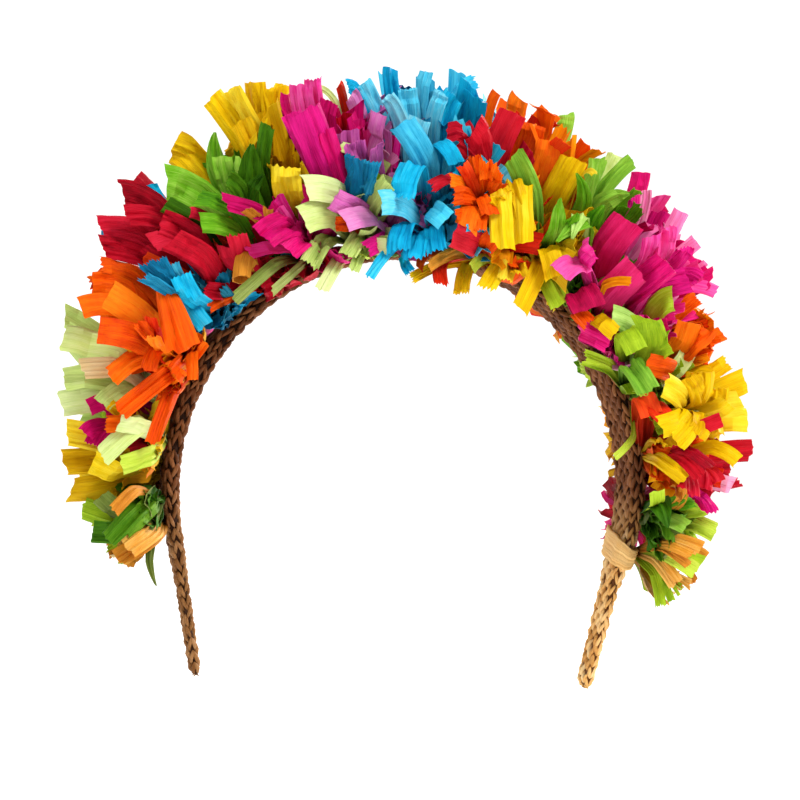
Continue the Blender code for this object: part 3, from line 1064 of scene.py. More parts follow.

# %% [markdown]
# One stitch, then close to a thousand
#
# The band is worked in thick raffia twine. Each stitch shows as a V: two plump strands that rise
# from one hole and lean apart, with dark slits between them. Bump alone would look painted,
# because the slits are deep and they notch the band's edge. So one strand is modelled from a
# cylinder: it is cut into rings by bisect, the rings are swollen and lifted, the strand is
# turned, and a Mirror gives its partner. Copies are then wrapped round the band course by
# course, with fewer in a course where the band narrows. At the ends they sink in, as a worked
# edge does. Under them lies a dark core, which is a copy of the imported band shrunk along its
# normals; its near-black colour is painted shade, for the shadow between the stitches. The
# twine's colour holds painted light and shade: it is brown up where the flowers shade it, and
# golden at the lower ends, most of all on the right, as if lit more brightly there.

# %% Modelling the stitch
StrandRing = namedtuple("StrandRing", "place fullness rise")
STRAND_RINGS = (
    StrandRing(place=-0.58, fullness=0.46, rise=-0.20),
    StrandRing(place=-0.34, fullness=0.95, rise=-0.06),
    StrandRing(place=0.00, fullness=1.10, rise=0.02),
    StrandRing(place=0.34, fullness=0.98, rise=-0.04),
    StrandRing(place=0.58, fullness=0.50, rise=-0.18),
)
STRAND_SIDES = 7
STRAND_RADIUS = 0.19
STRAND_TURN = math.radians(29)
STRAND_PLACE = (-0.25, 0.5, 0)
ON_RING = 0.02


def stitch_blank():
    reach = STRAND_RINGS[-1].place
    cuts = [ring.place for ring in STRAND_RINGS[1:-1]]
    blank = lying_cylinder("stitch", STRAND_SIDES, STRAND_RADIUS, 2 * reach, 0, "NGON", cuts)
    for ring in STRAND_RINGS:
        pick_corners(blank, lambda place, ring=ring: abs(place.y - ring.place) < ON_RING)
        bpy.ops.transform.resize(
            value=(ring.fullness, 1, ring.fullness), center_override=(0, ring.place, 0)
        )
        bpy.ops.transform.translate(value=(0, 0, ring.rise))
    bpy.ops.mesh.select_all(action="SELECT")
    bpy.ops.transform.rotate(value=STRAND_TURN, orient_axis="Z", center_override=(0, 0, 0))
    bpy.ops.transform.translate(value=STRAND_PLACE)
    bpy.ops.object.mode_set(mode="OBJECT")
    partner = blank.modifiers.new("Partner", "MIRROR")
    partner.use_mirror_merge = False
    bpy.ops.object.modifier_apply(modifier=partner.name)
    return take_blank(blank)


STITCH = stitch_blank()
print("one stitch has", len(STITCH.faces), "faces")

# %% Courses of stitches
STITCH_WIDTH = 4.8 * MM
CROWN_COURSE = 5.0 * MM
LEG_COURSE = 4.4 * MM
FEWEST_STITCHES = 6


def course_places():
    """Start and length of each course of stitches, from the left end to the right end."""
    widest = BAND_WIDTHS.max()
    places = []
    start = -HALF_LENGTH
    while start < HALF_LENGTH - LEG_COURSE / 2:
        share = np.interp(start, MEASURED_PLACES, BAND_WIDTHS) / widest
        step = LEG_COURSE + (CROWN_COURSE - LEG_COURSE) * share
        places.append((start, min(step, HALF_LENGTH - start)))
        start += step
    return places


def stitch_places():
    """For each stitch, its course's start and length, its place and share of the round, and
    how far it is moved on, half a course in every other column."""
    places = []
    for start, step in course_places():
        pairs = round(girth(start + step / 2) / STITCH_WIDTH / 2)
        count = max(2 * pairs, FEWEST_STITCHES)
        for column in range(count):
            places.append((start, step, (column + 0.5) / count, 1 / count, 0.5 * (column % 2)))
    return np.array(places)


print(len(course_places()), "courses with", len(stitch_places()), "stitches")

# %% Wrapping the stitches round the band
STITCH_RISE = 3.4 * MM
STITCH_SEAT = -0.85 * MM
END_ROUND = 3.2 * MM
END_TUCK = 1.7 * MM
PLUMPNESS_SPREAD = 0.09
LEAN_SPREAD = 0.12
SHIFT_SPREAD = 0.07
CROCHET_SEED = 5


def all_stitches(chance):
    """Corners and grain of every stitch, as two arrays with a row for each stitch."""
    starts, steps, rounds, shares, halves = stitch_places().T[..., None]
    across, along, height = STITCH.corners.T[:, None, :]
    plump = chance.normal(1, PLUMPNESS_SPREAD, starts.shape)
    lean = chance.normal(0, LEAN_SPREAD, starts.shape)
    shift = chance.normal(0, SHIFT_SPREAD, starts.shape)
    place = starts + (along * plump + shift + halves) * steps
    place = np.clip(place, -HALF_LENGTH, HALF_LENGTH)
    turned = rounds + (across * plump + lean * (along - 0.5)) * shares
    closing = np.clip(1 - (HALF_LENGTH - np.abs(place)) / END_ROUND, 0, 1) ** 2
    rise = height * plump * STITCH_RISE + STITCH_SEAT - END_TUCK * closing
    corners = on_band(place, turned, rise)
    lanes = np.arange(len(starts))[:, None] * LANE
    grain_across = across * STITCH_WIDTH * CM_PER_M + lanes
    grain_along = along * CROWN_COURSE * CM_PER_M + 0 * lanes
    return corners, np.stack([grain_across, grain_along], -1)


# %% Twine and the crocheted band
BROWN_TWINE = Dye((0.186, 0.062, 0.020), (0.084, 0.025, 0.008), (0.34, 0.135, 0.048))
# Painted light and shade: the twine is painted brown up where the flowers shade it, and these
# golden colours are a lit copy painted in at the band's lower ends.
LIT_TWINE = Dye((0.86, 0.48, 0.15), (0.50, 0.21, 0.045), (0.98, 0.74, 0.38))
# Painted shade: the core's near-black colours stand in for the shadow between the stitches, and the
# next ones are their lit copy for the lower ends.
PAINTED_SHADE_TWINE = Dye((0.030, 0.011, 0.006), (0.018, 0.006, 0.003), (0.05, 0.020, 0.010))
LIT_CORE_TWINE = Dye((0.15, 0.052, 0.014), (0.09, 0.030, 0.008), (0.22, 0.08, 0.022))
TWINE = raffia_material("crocheted_raffia", BROWN_TWINE, knot_shade=0, lit_colours=LIT_TWINE)
TWINE_SHADOW = raffia_material("crochet_shadow", PAINTED_SHADE_TWINE, knot_shade=0, lit_colours=LIT_CORE_TWINE)
CORE_INSET = 1.6 * MM


def linked(name, mesh):
    """A new object with this mesh, at the origin."""
    piece = bpy.data.objects.new(name, mesh)
    bpy.context.scene.collection.objects.link(piece)
    return piece


def crochet_mesh():
    corners, grain = all_stitches(np.random.default_rng(CROCHET_SEED))
    faces = copied_faces(STITCH, 0, len(corners))
    corners, grain = corners.reshape(-1, 3), grain.reshape(-1, 2)
    return new_mesh("crochet_stitches", corners, faces, grain, [TWINE])


def crochet_core():
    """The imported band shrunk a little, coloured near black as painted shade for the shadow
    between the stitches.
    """
    deselect_all()
    shape = welded("crochet_band")
    mesh = bpy.data.meshes.new("crochet_core")
    shape.to_mesh(mesh)
    shape.free()
    mesh.materials.append(TWINE_SHADOW)
    core = linked("crochet_core", mesh)
    bpy.context.view_layer.objects.active = core
    core.select_set(True)
    bpy.ops.object.mode_set(mode="EDIT")
    bpy.ops.mesh.select_all(action="SELECT")
    bpy.ops.transform.shrink_fatten(value=-CORE_INSET)
    bpy.ops.object.mode_set(mode="OBJECT")
    core.data.uv_layers.new(name=GRAIN_MAP)
    return core


def make_crochet():
    core = crochet_core()
    stitches = linked("crochet_stitches", crochet_mesh())
    deselect_all()
    core.select_set(True)
    stitches.select_set(True)
    bpy.context.view_layer.objects.active = stitches
    bpy.ops.object.join()
    stitches.name = "crochet_band_stitches"
    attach(stitches, "root")
    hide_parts("crochet_band")
    return stitches


CROCHET = make_crochet()
CROCHET.data.calc_loop_triangles()
print(CROCHET.name, "has", len(CROCHET.data.loop_triangles), "triangles")

# %% [markdown]
# The strap on the viewer's right
#
# One flat ribbon of natural raffia goes round the band where the lowest tuft is tied. The packed
# strap has the right size but is smooth, so a merged copy of it is subdivided, and each of its
# corners is moved: a little in or out for the strap's own folds, which run round the band, and a
# little along the leg, so that its edges are ragged, it lies askew, and its outer side is drawn
# together under the knot.

# %% Creased strap
STRAP_PLACE = 0.735
STRAP_CUTS = 5
STRAP_FOLDS = 5.0
STRAP_WIDTH = 0.010
FOLD_DEPTH = 0.35 * MM
FOLD_TURN_ACROSS = 60
FOLD_TURN_OUT = 90
RAGGED_EDGE = 0.0003
RAGGED_ACROSS = 410
RAGGED_OUT = 930
STRAP_SLANT = 0.16
STRAP_CROSSING = 0.15
STRAP_GATHER = 0.35
STRAP_LANE = 3 * LANE
STRAP_CREASE = math.radians(50)
STRAP_DYE = Dye((0.85, 0.46, 0.13), (0.62, 0.28, 0.06), (0.94, 0.64, 0.27))


def crease_strap(shape, layer):
    """Folds, frays and gathers the strap's corners, and maps its grain along the leg."""
    low, high = (Vector(corner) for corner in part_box("binding_strap"))
    middle = (low + high) / 2
    _, outward, lengthwise = inner_face(np.array([HALF_LENGTH * STRAP_PLACE]))
    outward, lengthwise = Vector(outward[0]), Vector(lengthwise[0])
    rises = [(corner.co - middle).dot(outward) for corner in shape.verts]
    rise_span = max(rises) - min(rises)
    grain = {}
    for corner in shape.verts:
        offset = corner.co - middle
        along, rise, side = offset.dot(lengthwise), offset.dot(outward), offset.y
        away = Vector(outward * rise + Vector((0, side, 0)))
        turn = STRAP_FOLDS * 2 * math.pi * along / STRAP_WIDTH
        wave = math.sin(turn + FOLD_TURN_ACROSS * side + FOLD_TURN_OUT * rise)
        ragged = math.sin(RAGGED_ACROSS * side) + math.sin(RAGGED_OUT * rise + 1)
        if away.length:
            corner.co += away.normalized() * FOLD_DEPTH * wave
        gather = STRAP_GATHER * min(max(0.5 + rise / rise_span, 0), 1)
        askew = STRAP_CROSSING * rise - STRAP_SLANT * side
        corner.co += lengthwise * (RAGGED_EDGE * ragged + askew - gather * along)
        grain[corner] = (CM_PER_M * along + STRAP_LANE, CM_PER_M * (side + rise))
    for face in shape.faces:
        for loop in face.loops:
            loop[layer].uv = grain[loop.vert]


def make_strap():
    shape = welded("binding_strap")
    bmesh.ops.subdivide_edges(
        shape, edges=shape.edges, cuts=STRAP_CUTS, use_grid_fill=True
    )
    crease_strap(shape, shape.loops.layers.uv.new(GRAIN_MAP))
    mesh = bpy.data.meshes.new("strap_ribbon")
    shape.to_mesh(mesh)
    shape.free()
    mesh.materials.append(raffia_material("strap_raffia", STRAP_DYE, knot_shade=0))
    mesh.shade_smooth()
    mesh.set_sharp_from_angle(angle=STRAP_CREASE)
    strap = linked("binding_strap_ribbon", mesh)
    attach(strap, "root")
    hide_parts("binding_strap")
    return strap


STRAP = make_strap()
print(STRAP.name, "has", len(STRAP.data.polygons), "faces")

# %% [markdown]
# How each dye's ribbons behave
#
# The tufts differ in more than colour. The yellow and pink ones are wide fans with pressed
# pleats, the steel blue ones are crinkled and torn, the natural ones are narrow, and pleated or
# folded, and the orange, blue and pale green ones curl most. Each habit is one row: how many
# ribbons grow on a lock, how narrow and how wide they are in millimetres, how much they curl,
# how often each kind of blank is used, in the order of KINDS, and the two dyes of the strays. A
# stray is a ribbon of another shade among a tuft's own, which real tufts are full of.

# %% Habits
KINDS = (*PLAIN_KINDS, "rolled")
Habit = namedtuple("Habit", "ribbons narrow wide curl kinds strays")
HABITS = {
    "natural": Habit(5, 2.5, 5.0, 0.4, (1, 4, 0, 3, 1), ("straw", "lime")),
    "gold": Habit(4, 6, 9.5, 0.8, (2, 4, 1, 1, 0), ("yellow", "amber")),
    "yellow": Habit(4, 6, 10, 0.7, (2, 5, 1, 1, 0), ("gold", "gold")),
    "amber": Habit(4, 5, 8.5, 0.7, (2, 3, 1, 2, 0), ("orange", "gold")),
    "orange": Habit(4, 5, 9, 1.1, (4, 2, 1, 2, 0), ("scarlet", "amber")),
    "scarlet": Habit(4, 6, 9.5, 0.8, (3, 3, 0, 2, 0), ("crimson", "orange")),
    "crimson": Habit(4, 6, 9.5, 0.7, (2, 4, 0, 1, 0), ("scarlet", "crimson")),
    "magenta": Habit(4, 6, 9.5, 0.7, (2, 5, 0, 1, 0), ("hot_pink", "crimson")),
    "hot_pink": Habit(4, 6.5, 10, 0.8, (2, 5, 0, 1, 0), ("magenta", "blush")),
    "mauve": Habit(4, 5, 8.5, 0.9, (2, 4, 1, 1, 0), ("hot_pink", "blush")),
    "turquoise": Habit(4, 6, 10, 1.0, (2, 3, 3, 2, 0), ("sky", "steel_blue")),
    "steel_blue": Habit(5, 3.5, 6.5, 1.2, (1, 1, 4, 2, 0), ("turquoise", "turquoise")),
    "leaf_green": Habit(4, 5, 9, 0.9, (2, 2, 1, 3, 0), ("moss_green", "moss_green")),
    "moss_green": Habit(4, 5, 9, 1.0, (2, 2, 1, 3, 0), ("leaf_green", "olive")),
    "lime": Habit(4, 5, 9, 1.0, (2, 2, 1, 3, 0), ("leaf_green", "pale_green")),
    "pale_green": Habit(4, 6, 10, 1.1, (4, 2, 0, 2, 0), ("lime", "pale_green")),
}


def dye_of(node):
    return node.split("_tuft_")[1][3:]


def pick_kind(habit, chance):
    weights = np.array(habit.kinds, float)
    return KINDS[chance.choice(len(KINDS), p=weights / weights.sum())]


print({dye: habit.ribbons for dye, habit in HABITS.items()}, "ribbons on each lock")

# %% [markdown]
# Combing
#
# The ribbons stand out from the band and none of them may grow into the space for the head.
# Over the forehead the front ones hang a little past the band's edge, but down both sides they
# stay on its outer side, so the crochet shows there. Each row of the table says how close to the
# middle of the arch a ribbon may come, in millimetres as the camera sees it, at an angle from the
# top in degrees.

# %% How close ribbons come to the arch's middle
Comb = namedtuple("Comb", "angle radius")
FRONT_COMB = (
    Comb(angle=-115, radius=89),
    Comb(angle=-90, radius=88),
    Comb(angle=-60, radius=88),
    Comb(angle=-42, radius=86),
    Comb(angle=-28, radius=82),
    Comb(angle=-16, radius=77),
    Comb(angle=0, radius=76),
    Comb(angle=20, radius=76),
    Comb(angle=34, radius=80),
    Comb(angle=48, radius=87),
    Comb(angle=70, radius=91),
    Comb(angle=115, radius=90),
)
BACK_RADIUS = 0.086
ARCH_MIDDLE = np.array([0, 0, -CROWN_RADIUS])
SIDE_SHIFT = TOWARDS_CAMERA.x / -TOWARDS_CAMERA.y


def comb(line):
    """Moves a ribbon's stations out of the head's space, straight away from the arch's middle."""
    offset = line - ARCH_MIDDLE
    forward = np.maximum(-offset[:, 1], 0)
    seen = offset[:, 0] - SIDE_SHIFT * forward
    angle = np.degrees(np.arctan2(seen, offset[:, 2]))
    angles, radii = zip(*FRONT_COMB)
    wanted = np.interp(angle, angles, np.array(radii) * MM)
    wanted = np.where(forward > 0, wanted, BACK_RADIUS)
    below = np.maximum(-offset[:, 2], 0)
    radius = np.where(below > 0, np.abs(seen), np.hypot(seen, offset[:, 2]))
    short = np.maximum(wanted - radius, 0)
    away = np.stack([seen, np.zeros_like(seen), np.where(below > 0, 0, offset[:, 2])], -1)
    return line + short[:, None] * unit(away)


print("nearest to the arch's middle:", min(row.radius for row in FRONT_COMB), "mm")

# %% [markdown]
# Growing the tufts
#
# Each lock of the imported model stands for four or five thin ribbons of the real tuft. They start
# near the tuft's foot, end around the lock's tip, and bend most near their cut end. Four in five
# open outwards like a flower's petals, and the rest curl in. Front tufts are cut a little shorter
# than their locks, because the ribbons placed one by one later reach the full length there.

# %% Ribbons of one lock
ROOT_SHARE = 0.22
OPENS_OUTWARD = 0.8
STRAY_CHANCE = 0.4
FLAT_TURN_SPREAD = 0.35
SIDEWAYS_SPREAD = 0.09
OVER_SPREAD = 0.11
LATE_BEND = (2.5, 7.0)
SWEEP_SPREAD = 0.12
ROLLED_NARROWER = 0.3
ROOT_WIDTHS = (0.55, 0.9)
GROWN_TWIST = 0.3
GROWN_CUP = 0.15
GROWN_SLANT = 0.3
GROWN_RIPPLES = (0.02, 0.06)
TORN_RIPPLE = 2
REACH = {"crest": (0.80, 1.0), "front": (0.66, 0.90), "back": (0.78, 1.0)}


def rippled(kind, height):
    return height * (TORN_RIPPLE if kind == "torn" else 1)


def bent_ribbon(base, lock, reach, axis, habit, chance):
    """The line and the flat side of one ribbon on this lock."""
    length = (lock.tip - base).length
    heading = (lock.tip - base).normalized()
    turn = float(chance.normal(0, FLAT_TURN_SPREAD))
    flat = Matrix.Rotation(turn, 3, heading) @ lock.flat
    cross = heading.cross(flat)
    off = float(chance.normal(0, SIDEWAYS_SPREAD)) * length
    over = float(chance.normal(0, OVER_SPREAD)) * length
    share = float(chance.uniform(*reach))
    tip = base + share * (length * heading) + off * flat + over * cross
    curl = abs(float(chance.normal(0, habit.curl)))
    if flat.cross(heading).dot(axis) > 0:
        curl = -curl
    if chance.random() > OPENS_OUTWARD:
        curl = -curl
    late = float(chance.uniform(*LATE_BEND))
    sweep = float(chance.normal(0, SWEEP_SPREAD))
    return bent_line(base, tip, flat, curl, late, sweep)


def lock_ribbons(node, foot, axis, lock, chance):
    """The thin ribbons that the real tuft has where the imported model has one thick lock."""
    dye = dye_of(node)
    habit = HABITS[dye]
    reach = REACH[node.split("_")[0]]
    base = foot.lerp(lock.root, ROOT_SHARE)
    made = []
    for _ in range(habit.ribbons):
        line, side = bent_ribbon(base, lock, reach, axis, habit, chance)
        kind = pick_kind(habit, chance)
        width = float(chance.uniform(habit.narrow, habit.wide)) * MM
        if kind == "rolled":
            width *= ROLLED_NARROWER
        stray = habit.strays[chance.integers(2)]
        made.append(
            Ribbon(
                kind=kind,
                dye=stray if chance.random() < STRAY_CHANCE else dye,
                line=comb(line),
                flat=side,
                width=width,
                root_width=float(chance.uniform(*ROOT_WIDTHS)),
                twist=float(chance.normal(0, GROWN_TWIST)),
                cup=float(chance.normal(0, GROWN_CUP)),
                slant=float(chance.normal(0, GROWN_SLANT)),
                ripple=rippled(kind, float(chance.uniform(*GROWN_RIPPLES))),
            )
        )
    return made


# %% Growing every tuft
GROWING_SEED = 11


def grow_all(chance):
    grown = {}
    for node in TUFTS:
        foot, locks = LOCKS[node]
        axis = sum((lock.tip - foot for lock in locks), Vector()).normalized()
        grown[node] = []
        for lock in locks:
            grown[node] += lock_ribbons(node, foot, axis, lock, chance)
    return grown


GROWN = grow_all(np.random.default_rng(GROWING_SEED))
print(sum(len(ribbons) for ribbons in GROWN.values()), "ribbons grown on the locks")

# %% [markdown]
# The ribbons that show best
#
# Grown at random, the tufts have the right colours in the right places, but the photograph also
# shows single ribbons that anyone would recognise: the yellow fan at the upper left, the wide
# orange ribbon curled over itself, the green loops, the long strips that hang over the
# forehead. Each of these is one row here, under its tuft. via and tip are pixels of the
# photograph. forward is how far the tip lies in front of the band's middle plane, and arch is how
# far the ribbon bows to the viewer, both in millimetres, as is width. A row without a dye has its
# tuft's own. widest_at is the share of its length where a ribbon reaches its full width: past 1,
# it widens all the way. Every ribbon still starts at its tuft's foot on the band.

# %% Table of ribbons placed one by one
Laid = namedtuple(
    "Laid", "via tip forward width arch kind dye widest_at", defaults=(None, WIDEST_AT)
)
LAID = {
    "crest_tuft_01_natural": (
        Laid((148, 538), (117, 560), 36, 9.5, 3, "pleated"),
        Laid((152, 530), (126, 549), 41, 8.5, 3, "pleated"),
        Laid((138, 508), (118, 522), 26, 3, 2, "folded"),
        Laid((118, 518), (82, 508), 18, 8, 4, "folded", "lime"),
        Laid((120, 530), (92, 532), 24, 8, 3, "flat", "moss_green"),
        Laid((122, 512), (100, 496), 28, 7, 4, "flat", "olive"),
    ),
    "front_tuft_01_moss_green": (
        Laid((149, 559), (157, 587), 30, 3.0, 0, "blade", "olive"),
        Laid((137, 508), (107, 541), 42, 8, 3, "folded"),
        Laid((150, 506), (124, 532), 38, 7, 3, "folded"),
        Laid((138, 488), (113, 512), 44, 4.5, 2, "folded", "natural"),
    ),
    "crest_tuft_02_gold": (
        Laid((105, 440), (66, 432), 26, 9, 4, "pleated", "yellow"),
        Laid((110, 460), (62, 462), 24, 9, 4, "pleated"),
        Laid((115, 470), (92, 462), 34, 9, 6, "flat", "yellow"),
        Laid((110, 485), (70, 492), 18, 9, 3, "flat"),
    ),
    "front_tuft_02_gold": (
        Laid((146, 420), (101, 457), 42, 7.5, 5, "flat", "pale_green"),
        Laid((150, 430), (118, 423), 44, 6.5, 6, "flat", "pale_green"),
        Laid((150, 445), (128, 450), 36, 8, 3, "flat", "crimson"),
        Laid((104, 426), (86, 434), 36, 6.5, 3, "flat", "magenta"),
        Laid((112, 424), (92, 446), 34, 6, 2, "torn", "magenta"),
        Laid((155, 455), (120, 466), 40, 7, 5, "folded", "lime"),
        Laid((135, 425), (104, 424), 40, 6, 4, "torn", "orange"),
        Laid((125, 415), (109, 404), 40, 4, 3, "flat", "yellow"),
    ),
    "crest_tuft_03_pale_green": (
        Laid((125, 352), (62, 337), 22, 10, 5, "flat"),
        Laid((112, 378), (64, 378), 24, 10, 7, "flat"),
        Laid((112, 398), (60, 404), 22, 9, 7, "flat"),
        Laid((104, 340), (65, 316), 10, 8, 3, "flat"),
        Laid((125, 370), (80, 369), 36, 8.5, 2, "pleated", "straw"),
        Laid((130, 386), (101, 404), 38, 7, 4, "flat"),
        Laid((118, 398), (88, 408), 30, 6, 2, "flat", "magenta"),
        Laid((128, 404), (104, 412), 34, 7, 2, "folded", "magenta"),
    ),
    "front_tuft_03_orange": (
        Laid((172, 372), (118, 414), 47, 6.5, 4, "pleated"),
        Laid((172, 392), (152, 446), 44, 5.5, 2, "pleated"),
        Laid((166, 286), (185, 352), 56, 12.5, 8, "folded", widest_at=1.2),
        Laid((193, 352), (192, 381), 44, 4.5, 5, "flat"),
        Laid((145, 318), (108, 294), 50, 10, 8, "flat"),
        Laid((138, 338), (98, 330), 52, 9, 9, "flat"),
        Laid((145, 355), (110, 378), 48, 7, 4, "folded"),
        Laid((156, 342), (138, 322), 60, 4.5, 3, "torn"),
        Laid((160, 338), (150, 316), 60, 4.5, 3, "torn", "scarlet"),
        Laid((162, 350), (152, 336), 61, 5, 4, "torn"),
        Laid((160, 345), (148, 372), 50, 6, 5, "folded"),
    ),
    "crest_tuft_04_orange": (
        Laid((140, 276), (100, 266), 24, 7, 3, "torn"),
        Laid((120, 305), (80, 308), 30, 8, 4, "flat"),
        Laid((128, 290), (92, 284), 26, 8, 4, "flat"),
        Laid((120, 300), (94, 290), 10, 6, 2, "flat", "steel_blue"),
    ),
    "front_tuft_04_steel_blue": (
        Laid((186, 296), (144, 262), 58, 6.0, 6, "torn"),
        Laid((182, 292), (158, 258), 58, 5.0, 6, "torn"),
        Laid((184, 298), (142, 276), 60, 4.5, 4, "torn"),
        Laid((196, 300), (180, 274), 56, 7, 8, "torn", "turquoise"),
        Laid((190, 302), (206, 327), 42, 6, 4, "flat", "turquoise"),
        Laid((184, 288), (170, 263), 56, 6, 6, "torn"),
        Laid((200, 314), (204, 336), 30, 9, 2, "torn"),
    ),
    "crest_tuft_05_crimson": (
        Laid((168, 222), (125, 216), 28, 8, 2, "pleated"),
        Laid((144, 233), (99, 227), 20, 9, 2, "pleated"),
        Laid((146, 247), (101, 237), 12, 5, 1, "flat", "steel_blue"),
        Laid((146, 257), (102, 247), 22, 8, 2, "pleated"),
        Laid((210, 262), (172, 240), 46, 9, 9, "flat"),
        Laid((178, 245), (151, 243), 38, 8, 4, "flat"),
        Laid((158, 208), (122, 192), 14, 9, 2, "pleated"),
        Laid((158, 200), (136, 177), 4, 7, 1, "flat"),
        Laid((196, 240), (160, 222), 36, 9, 6, "pleated"),
        Laid((162, 205), (151, 184), 12, 4.5, 1, "flat", "turquoise"),
    ),
    "front_tuft_05_crimson": (
        Laid((228, 292), (206, 290), 40, 6, 3, "torn"),
        Laid((224, 300), (208, 308), 40, 4, 3, "folded", "orange"),
        Laid((247, 262), (236, 233), 44, 7, 4, "torn"),
        Laid((246, 258), (241, 280), 46, 6.5, 4, "rolled", "natural"),
    ),
    "front_tuft_06_magenta": (
        Laid((265, 216), (222, 201), 42, 8, 4, "pleated"),
        Laid((262, 222), (246, 210), 46, 3.5, 2, "folded", "natural"),
        Laid((272, 224), (268, 208), 46, 3.5, 2, "folded", "natural"),
        Laid((288, 226), (262, 238), 54, 10, 8, "pleated"),
        Laid((304, 238), (287, 250), 52, 9, 6, "flat"),
        Laid((288, 248), (247, 252), 42, 6, 3, "flat"),
        Laid((280, 262), (233, 301), 50, 4.4, 5, "folded", "olive"),
        Laid((302, 266), (271, 293), 46, 3.2, 4, "folded", "olive"),
    ),
    "crest_tuft_06_leaf_green": (
        Laid((205, 172), (172, 148), 2, 12, 2, "pleated", "yellow"),
        Laid((204, 200), (167, 182), 28, 12, 6, "flat"),
        Laid((218, 172), (215, 132), 14, 8, 1, "blade"),
        Laid((230, 186), (222, 156), 26, 7, 4, "folded"),
        Laid((244, 185), (238, 156), 24, 8, 4, "blade"),
        Laid((262, 172), (268, 124), 34, 5.2, 1, "folded", "moss_green"),
        Laid((252, 184), (252, 144), 34, 11, 2, "blade", "moss_green"),
        Laid((244, 196), (228, 178), 38, 6, 3, "torn", "moss_green"),
        Laid((250, 200), (264, 174), 36, 7, 3, "blade", "moss_green"),
        Laid((238, 212), (197, 197), 40, 6, 4, "folded"),
        Laid((236, 230), (200, 222), 42, 7.5, 5, "flat"),
        Laid((208, 219), (190, 213), 42, 4, 2, "flat", "crimson"),
        Laid((204, 226), (165, 204), 32, 6, 2, "flat", "moss_green"),
    ),
    "crest_tuft_07_yellow": (
        Laid((238, 132), (211, 96), 14, 8.5, 1, "pleated"),
        Laid((251, 128), (231, 88), 17, 9, 1, "pleated"),
        Laid((264, 126), (253, 81), 16, 9, 1, "pleated"),
        Laid((277, 126), (274, 87), 18, 9, 1, "pleated"),
        Laid((276, 130), (284, 84), 2, 6, 1, "flat"),
        Laid((290, 200), (286, 166), 38, 10, 5, "torn"),
        Laid((262, 165), (240, 120), 22, 8, 2, "pleated", "gold"),
    ),
    "crest_tuft_08_magenta": (
        Laid((296, 124), (288, 94), 20, 7, 1, "flat"),
        Laid((307, 122), (301, 84), 24, 8, 1, "pleated", "hot_pink"),
        Laid((318, 118), (313, 78), 22, 6, 1, "torn", "hot_pink"),
        Laid((328, 134), (330, 100), 30, 7, 2, "pleated"),
        Laid((308, 150), (290, 112), 34, 7, 2, "folded", "hot_pink"),
        Laid((326, 166), (304, 108), 42, 12, 4, "folded", "hot_pink"),
        Laid((302, 146), (277, 118), 16, 7, 2, "pleated", "hot_pink"),
        Laid((340, 182), (322, 130), 40, 8, 4, "pleated"),
        Laid((338, 106), (316, 88), 6, 2.4, 0, "folded", "pale_green"),
        Laid((345, 106), (339, 84), 4, 4, 0, "flat", "scarlet"),
    ),
    "front_tuft_07_pale_green": (
        Laid((334, 214), (303, 220), 52, 10, 6, "flat"),
        Laid((338, 195), (305, 188), 52, 9, 7, "flat"),
        Laid((328, 238), (309, 265), 48, 7, 4, "torn"),
        Laid((338, 262), (321, 291), 52, 5, 2, "folded"),
        Laid((360, 236), (347, 256), 50, 6, 4, "pleated"),
        Laid((362, 252), (353, 272), 46, 4, 3, "folded"),
        Laid((374, 202), (389, 182), 54, 6.5, 4, "flat"),
        Laid((352, 188), (358, 156), 48, 8, 6, "torn", "steel_blue"),
        Laid((366, 190), (372, 160), 50, 7, 6, "torn", "steel_blue"),
    ),
    "crest_tuft_09_mauve": (
        Laid((372, 152), (378, 112), 32, 9, 3, "flat"),
        Laid((350, 168), (345, 130), 34, 10, 4, "pleated"),
        Laid((362, 176), (354, 142), 46, 8, 3, "pleated"),
        Laid((378, 166), (377, 146), 44, 7, 4, "flat"),
        Laid((360, 116), (351, 95), 10, 6, 1, "flat"),
    ),
    "front_tuft_08_mauve": (
        Laid((354, 210), (334, 201), 54, 8, 5, "flat"),
        Laid((372, 216), (344, 221), 55, 8, 5, "flat"),
        Laid((352, 226), (335, 224), 50, 5, 3, "flat", "orange"),
        Laid((386, 240), (366, 250), 48, 6, 3, "torn", "hot_pink"),
    ),
    "crest_tuft_10_turquoise": (
        Laid((378, 112), (364, 82), 18, 5.5, 2, "flat", "sky"),
        Laid((393, 98), (391, 68), 14, 5.5, 2, "folded"),
        Laid((364, 102), (347, 86), 8, 6, 1, "torn"),
        Laid((420, 112), (426, 71), 22, 7, 3, "flat", "sky"),
        Laid((412, 122), (408, 88), 24, 7, 3, "torn", "sky"),
        Laid((446, 114), (476, 80), 20, 6, 3, "torn"),
        Laid((432, 124), (442, 92), 28, 6, 3, "folded", "sky"),
        Laid((402, 126), (386, 96), 26, 6, 3, "folded", "sky"),
        Laid((440, 130), (455, 96), 26, 8, 3, "folded"),
        Laid((428, 168), (401, 122), 48, 9, 5, "folded", "sky"),
        Laid((414, 152), (420, 118), 42, 8, 4, "flat", "sky"),
        Laid((414, 166), (400, 199), 56, 9, 5, "torn"),
        Laid((438, 144), (457, 164), 46, 6, 7, "flat"),
    ),
    "front_tuft_09_turquoise": (
        Laid((404, 206), (380, 203), 57, 8.5, 5, "flat", "sky"),
        Laid((405, 224), (398, 253), 52, 8, 4, "torn"),
        Laid((419, 234), (414, 261), 52, 8, 4, "torn"),
        Laid((434, 228), (437, 252), 50, 7, 4, "torn"),
        Laid((430, 210), (446, 221), 54, 8, 5, "flat"),
        Laid((394, 246), (368, 278), 56, 4.2, 2, "folded"),
        Laid((404, 256), (411, 273), 46, 4, 2, "torn"),
    ),
    "crest_tuft_11_scarlet": (
        Laid((492, 162), (514, 112), 32, 10, 3, "flat", "cherry"),
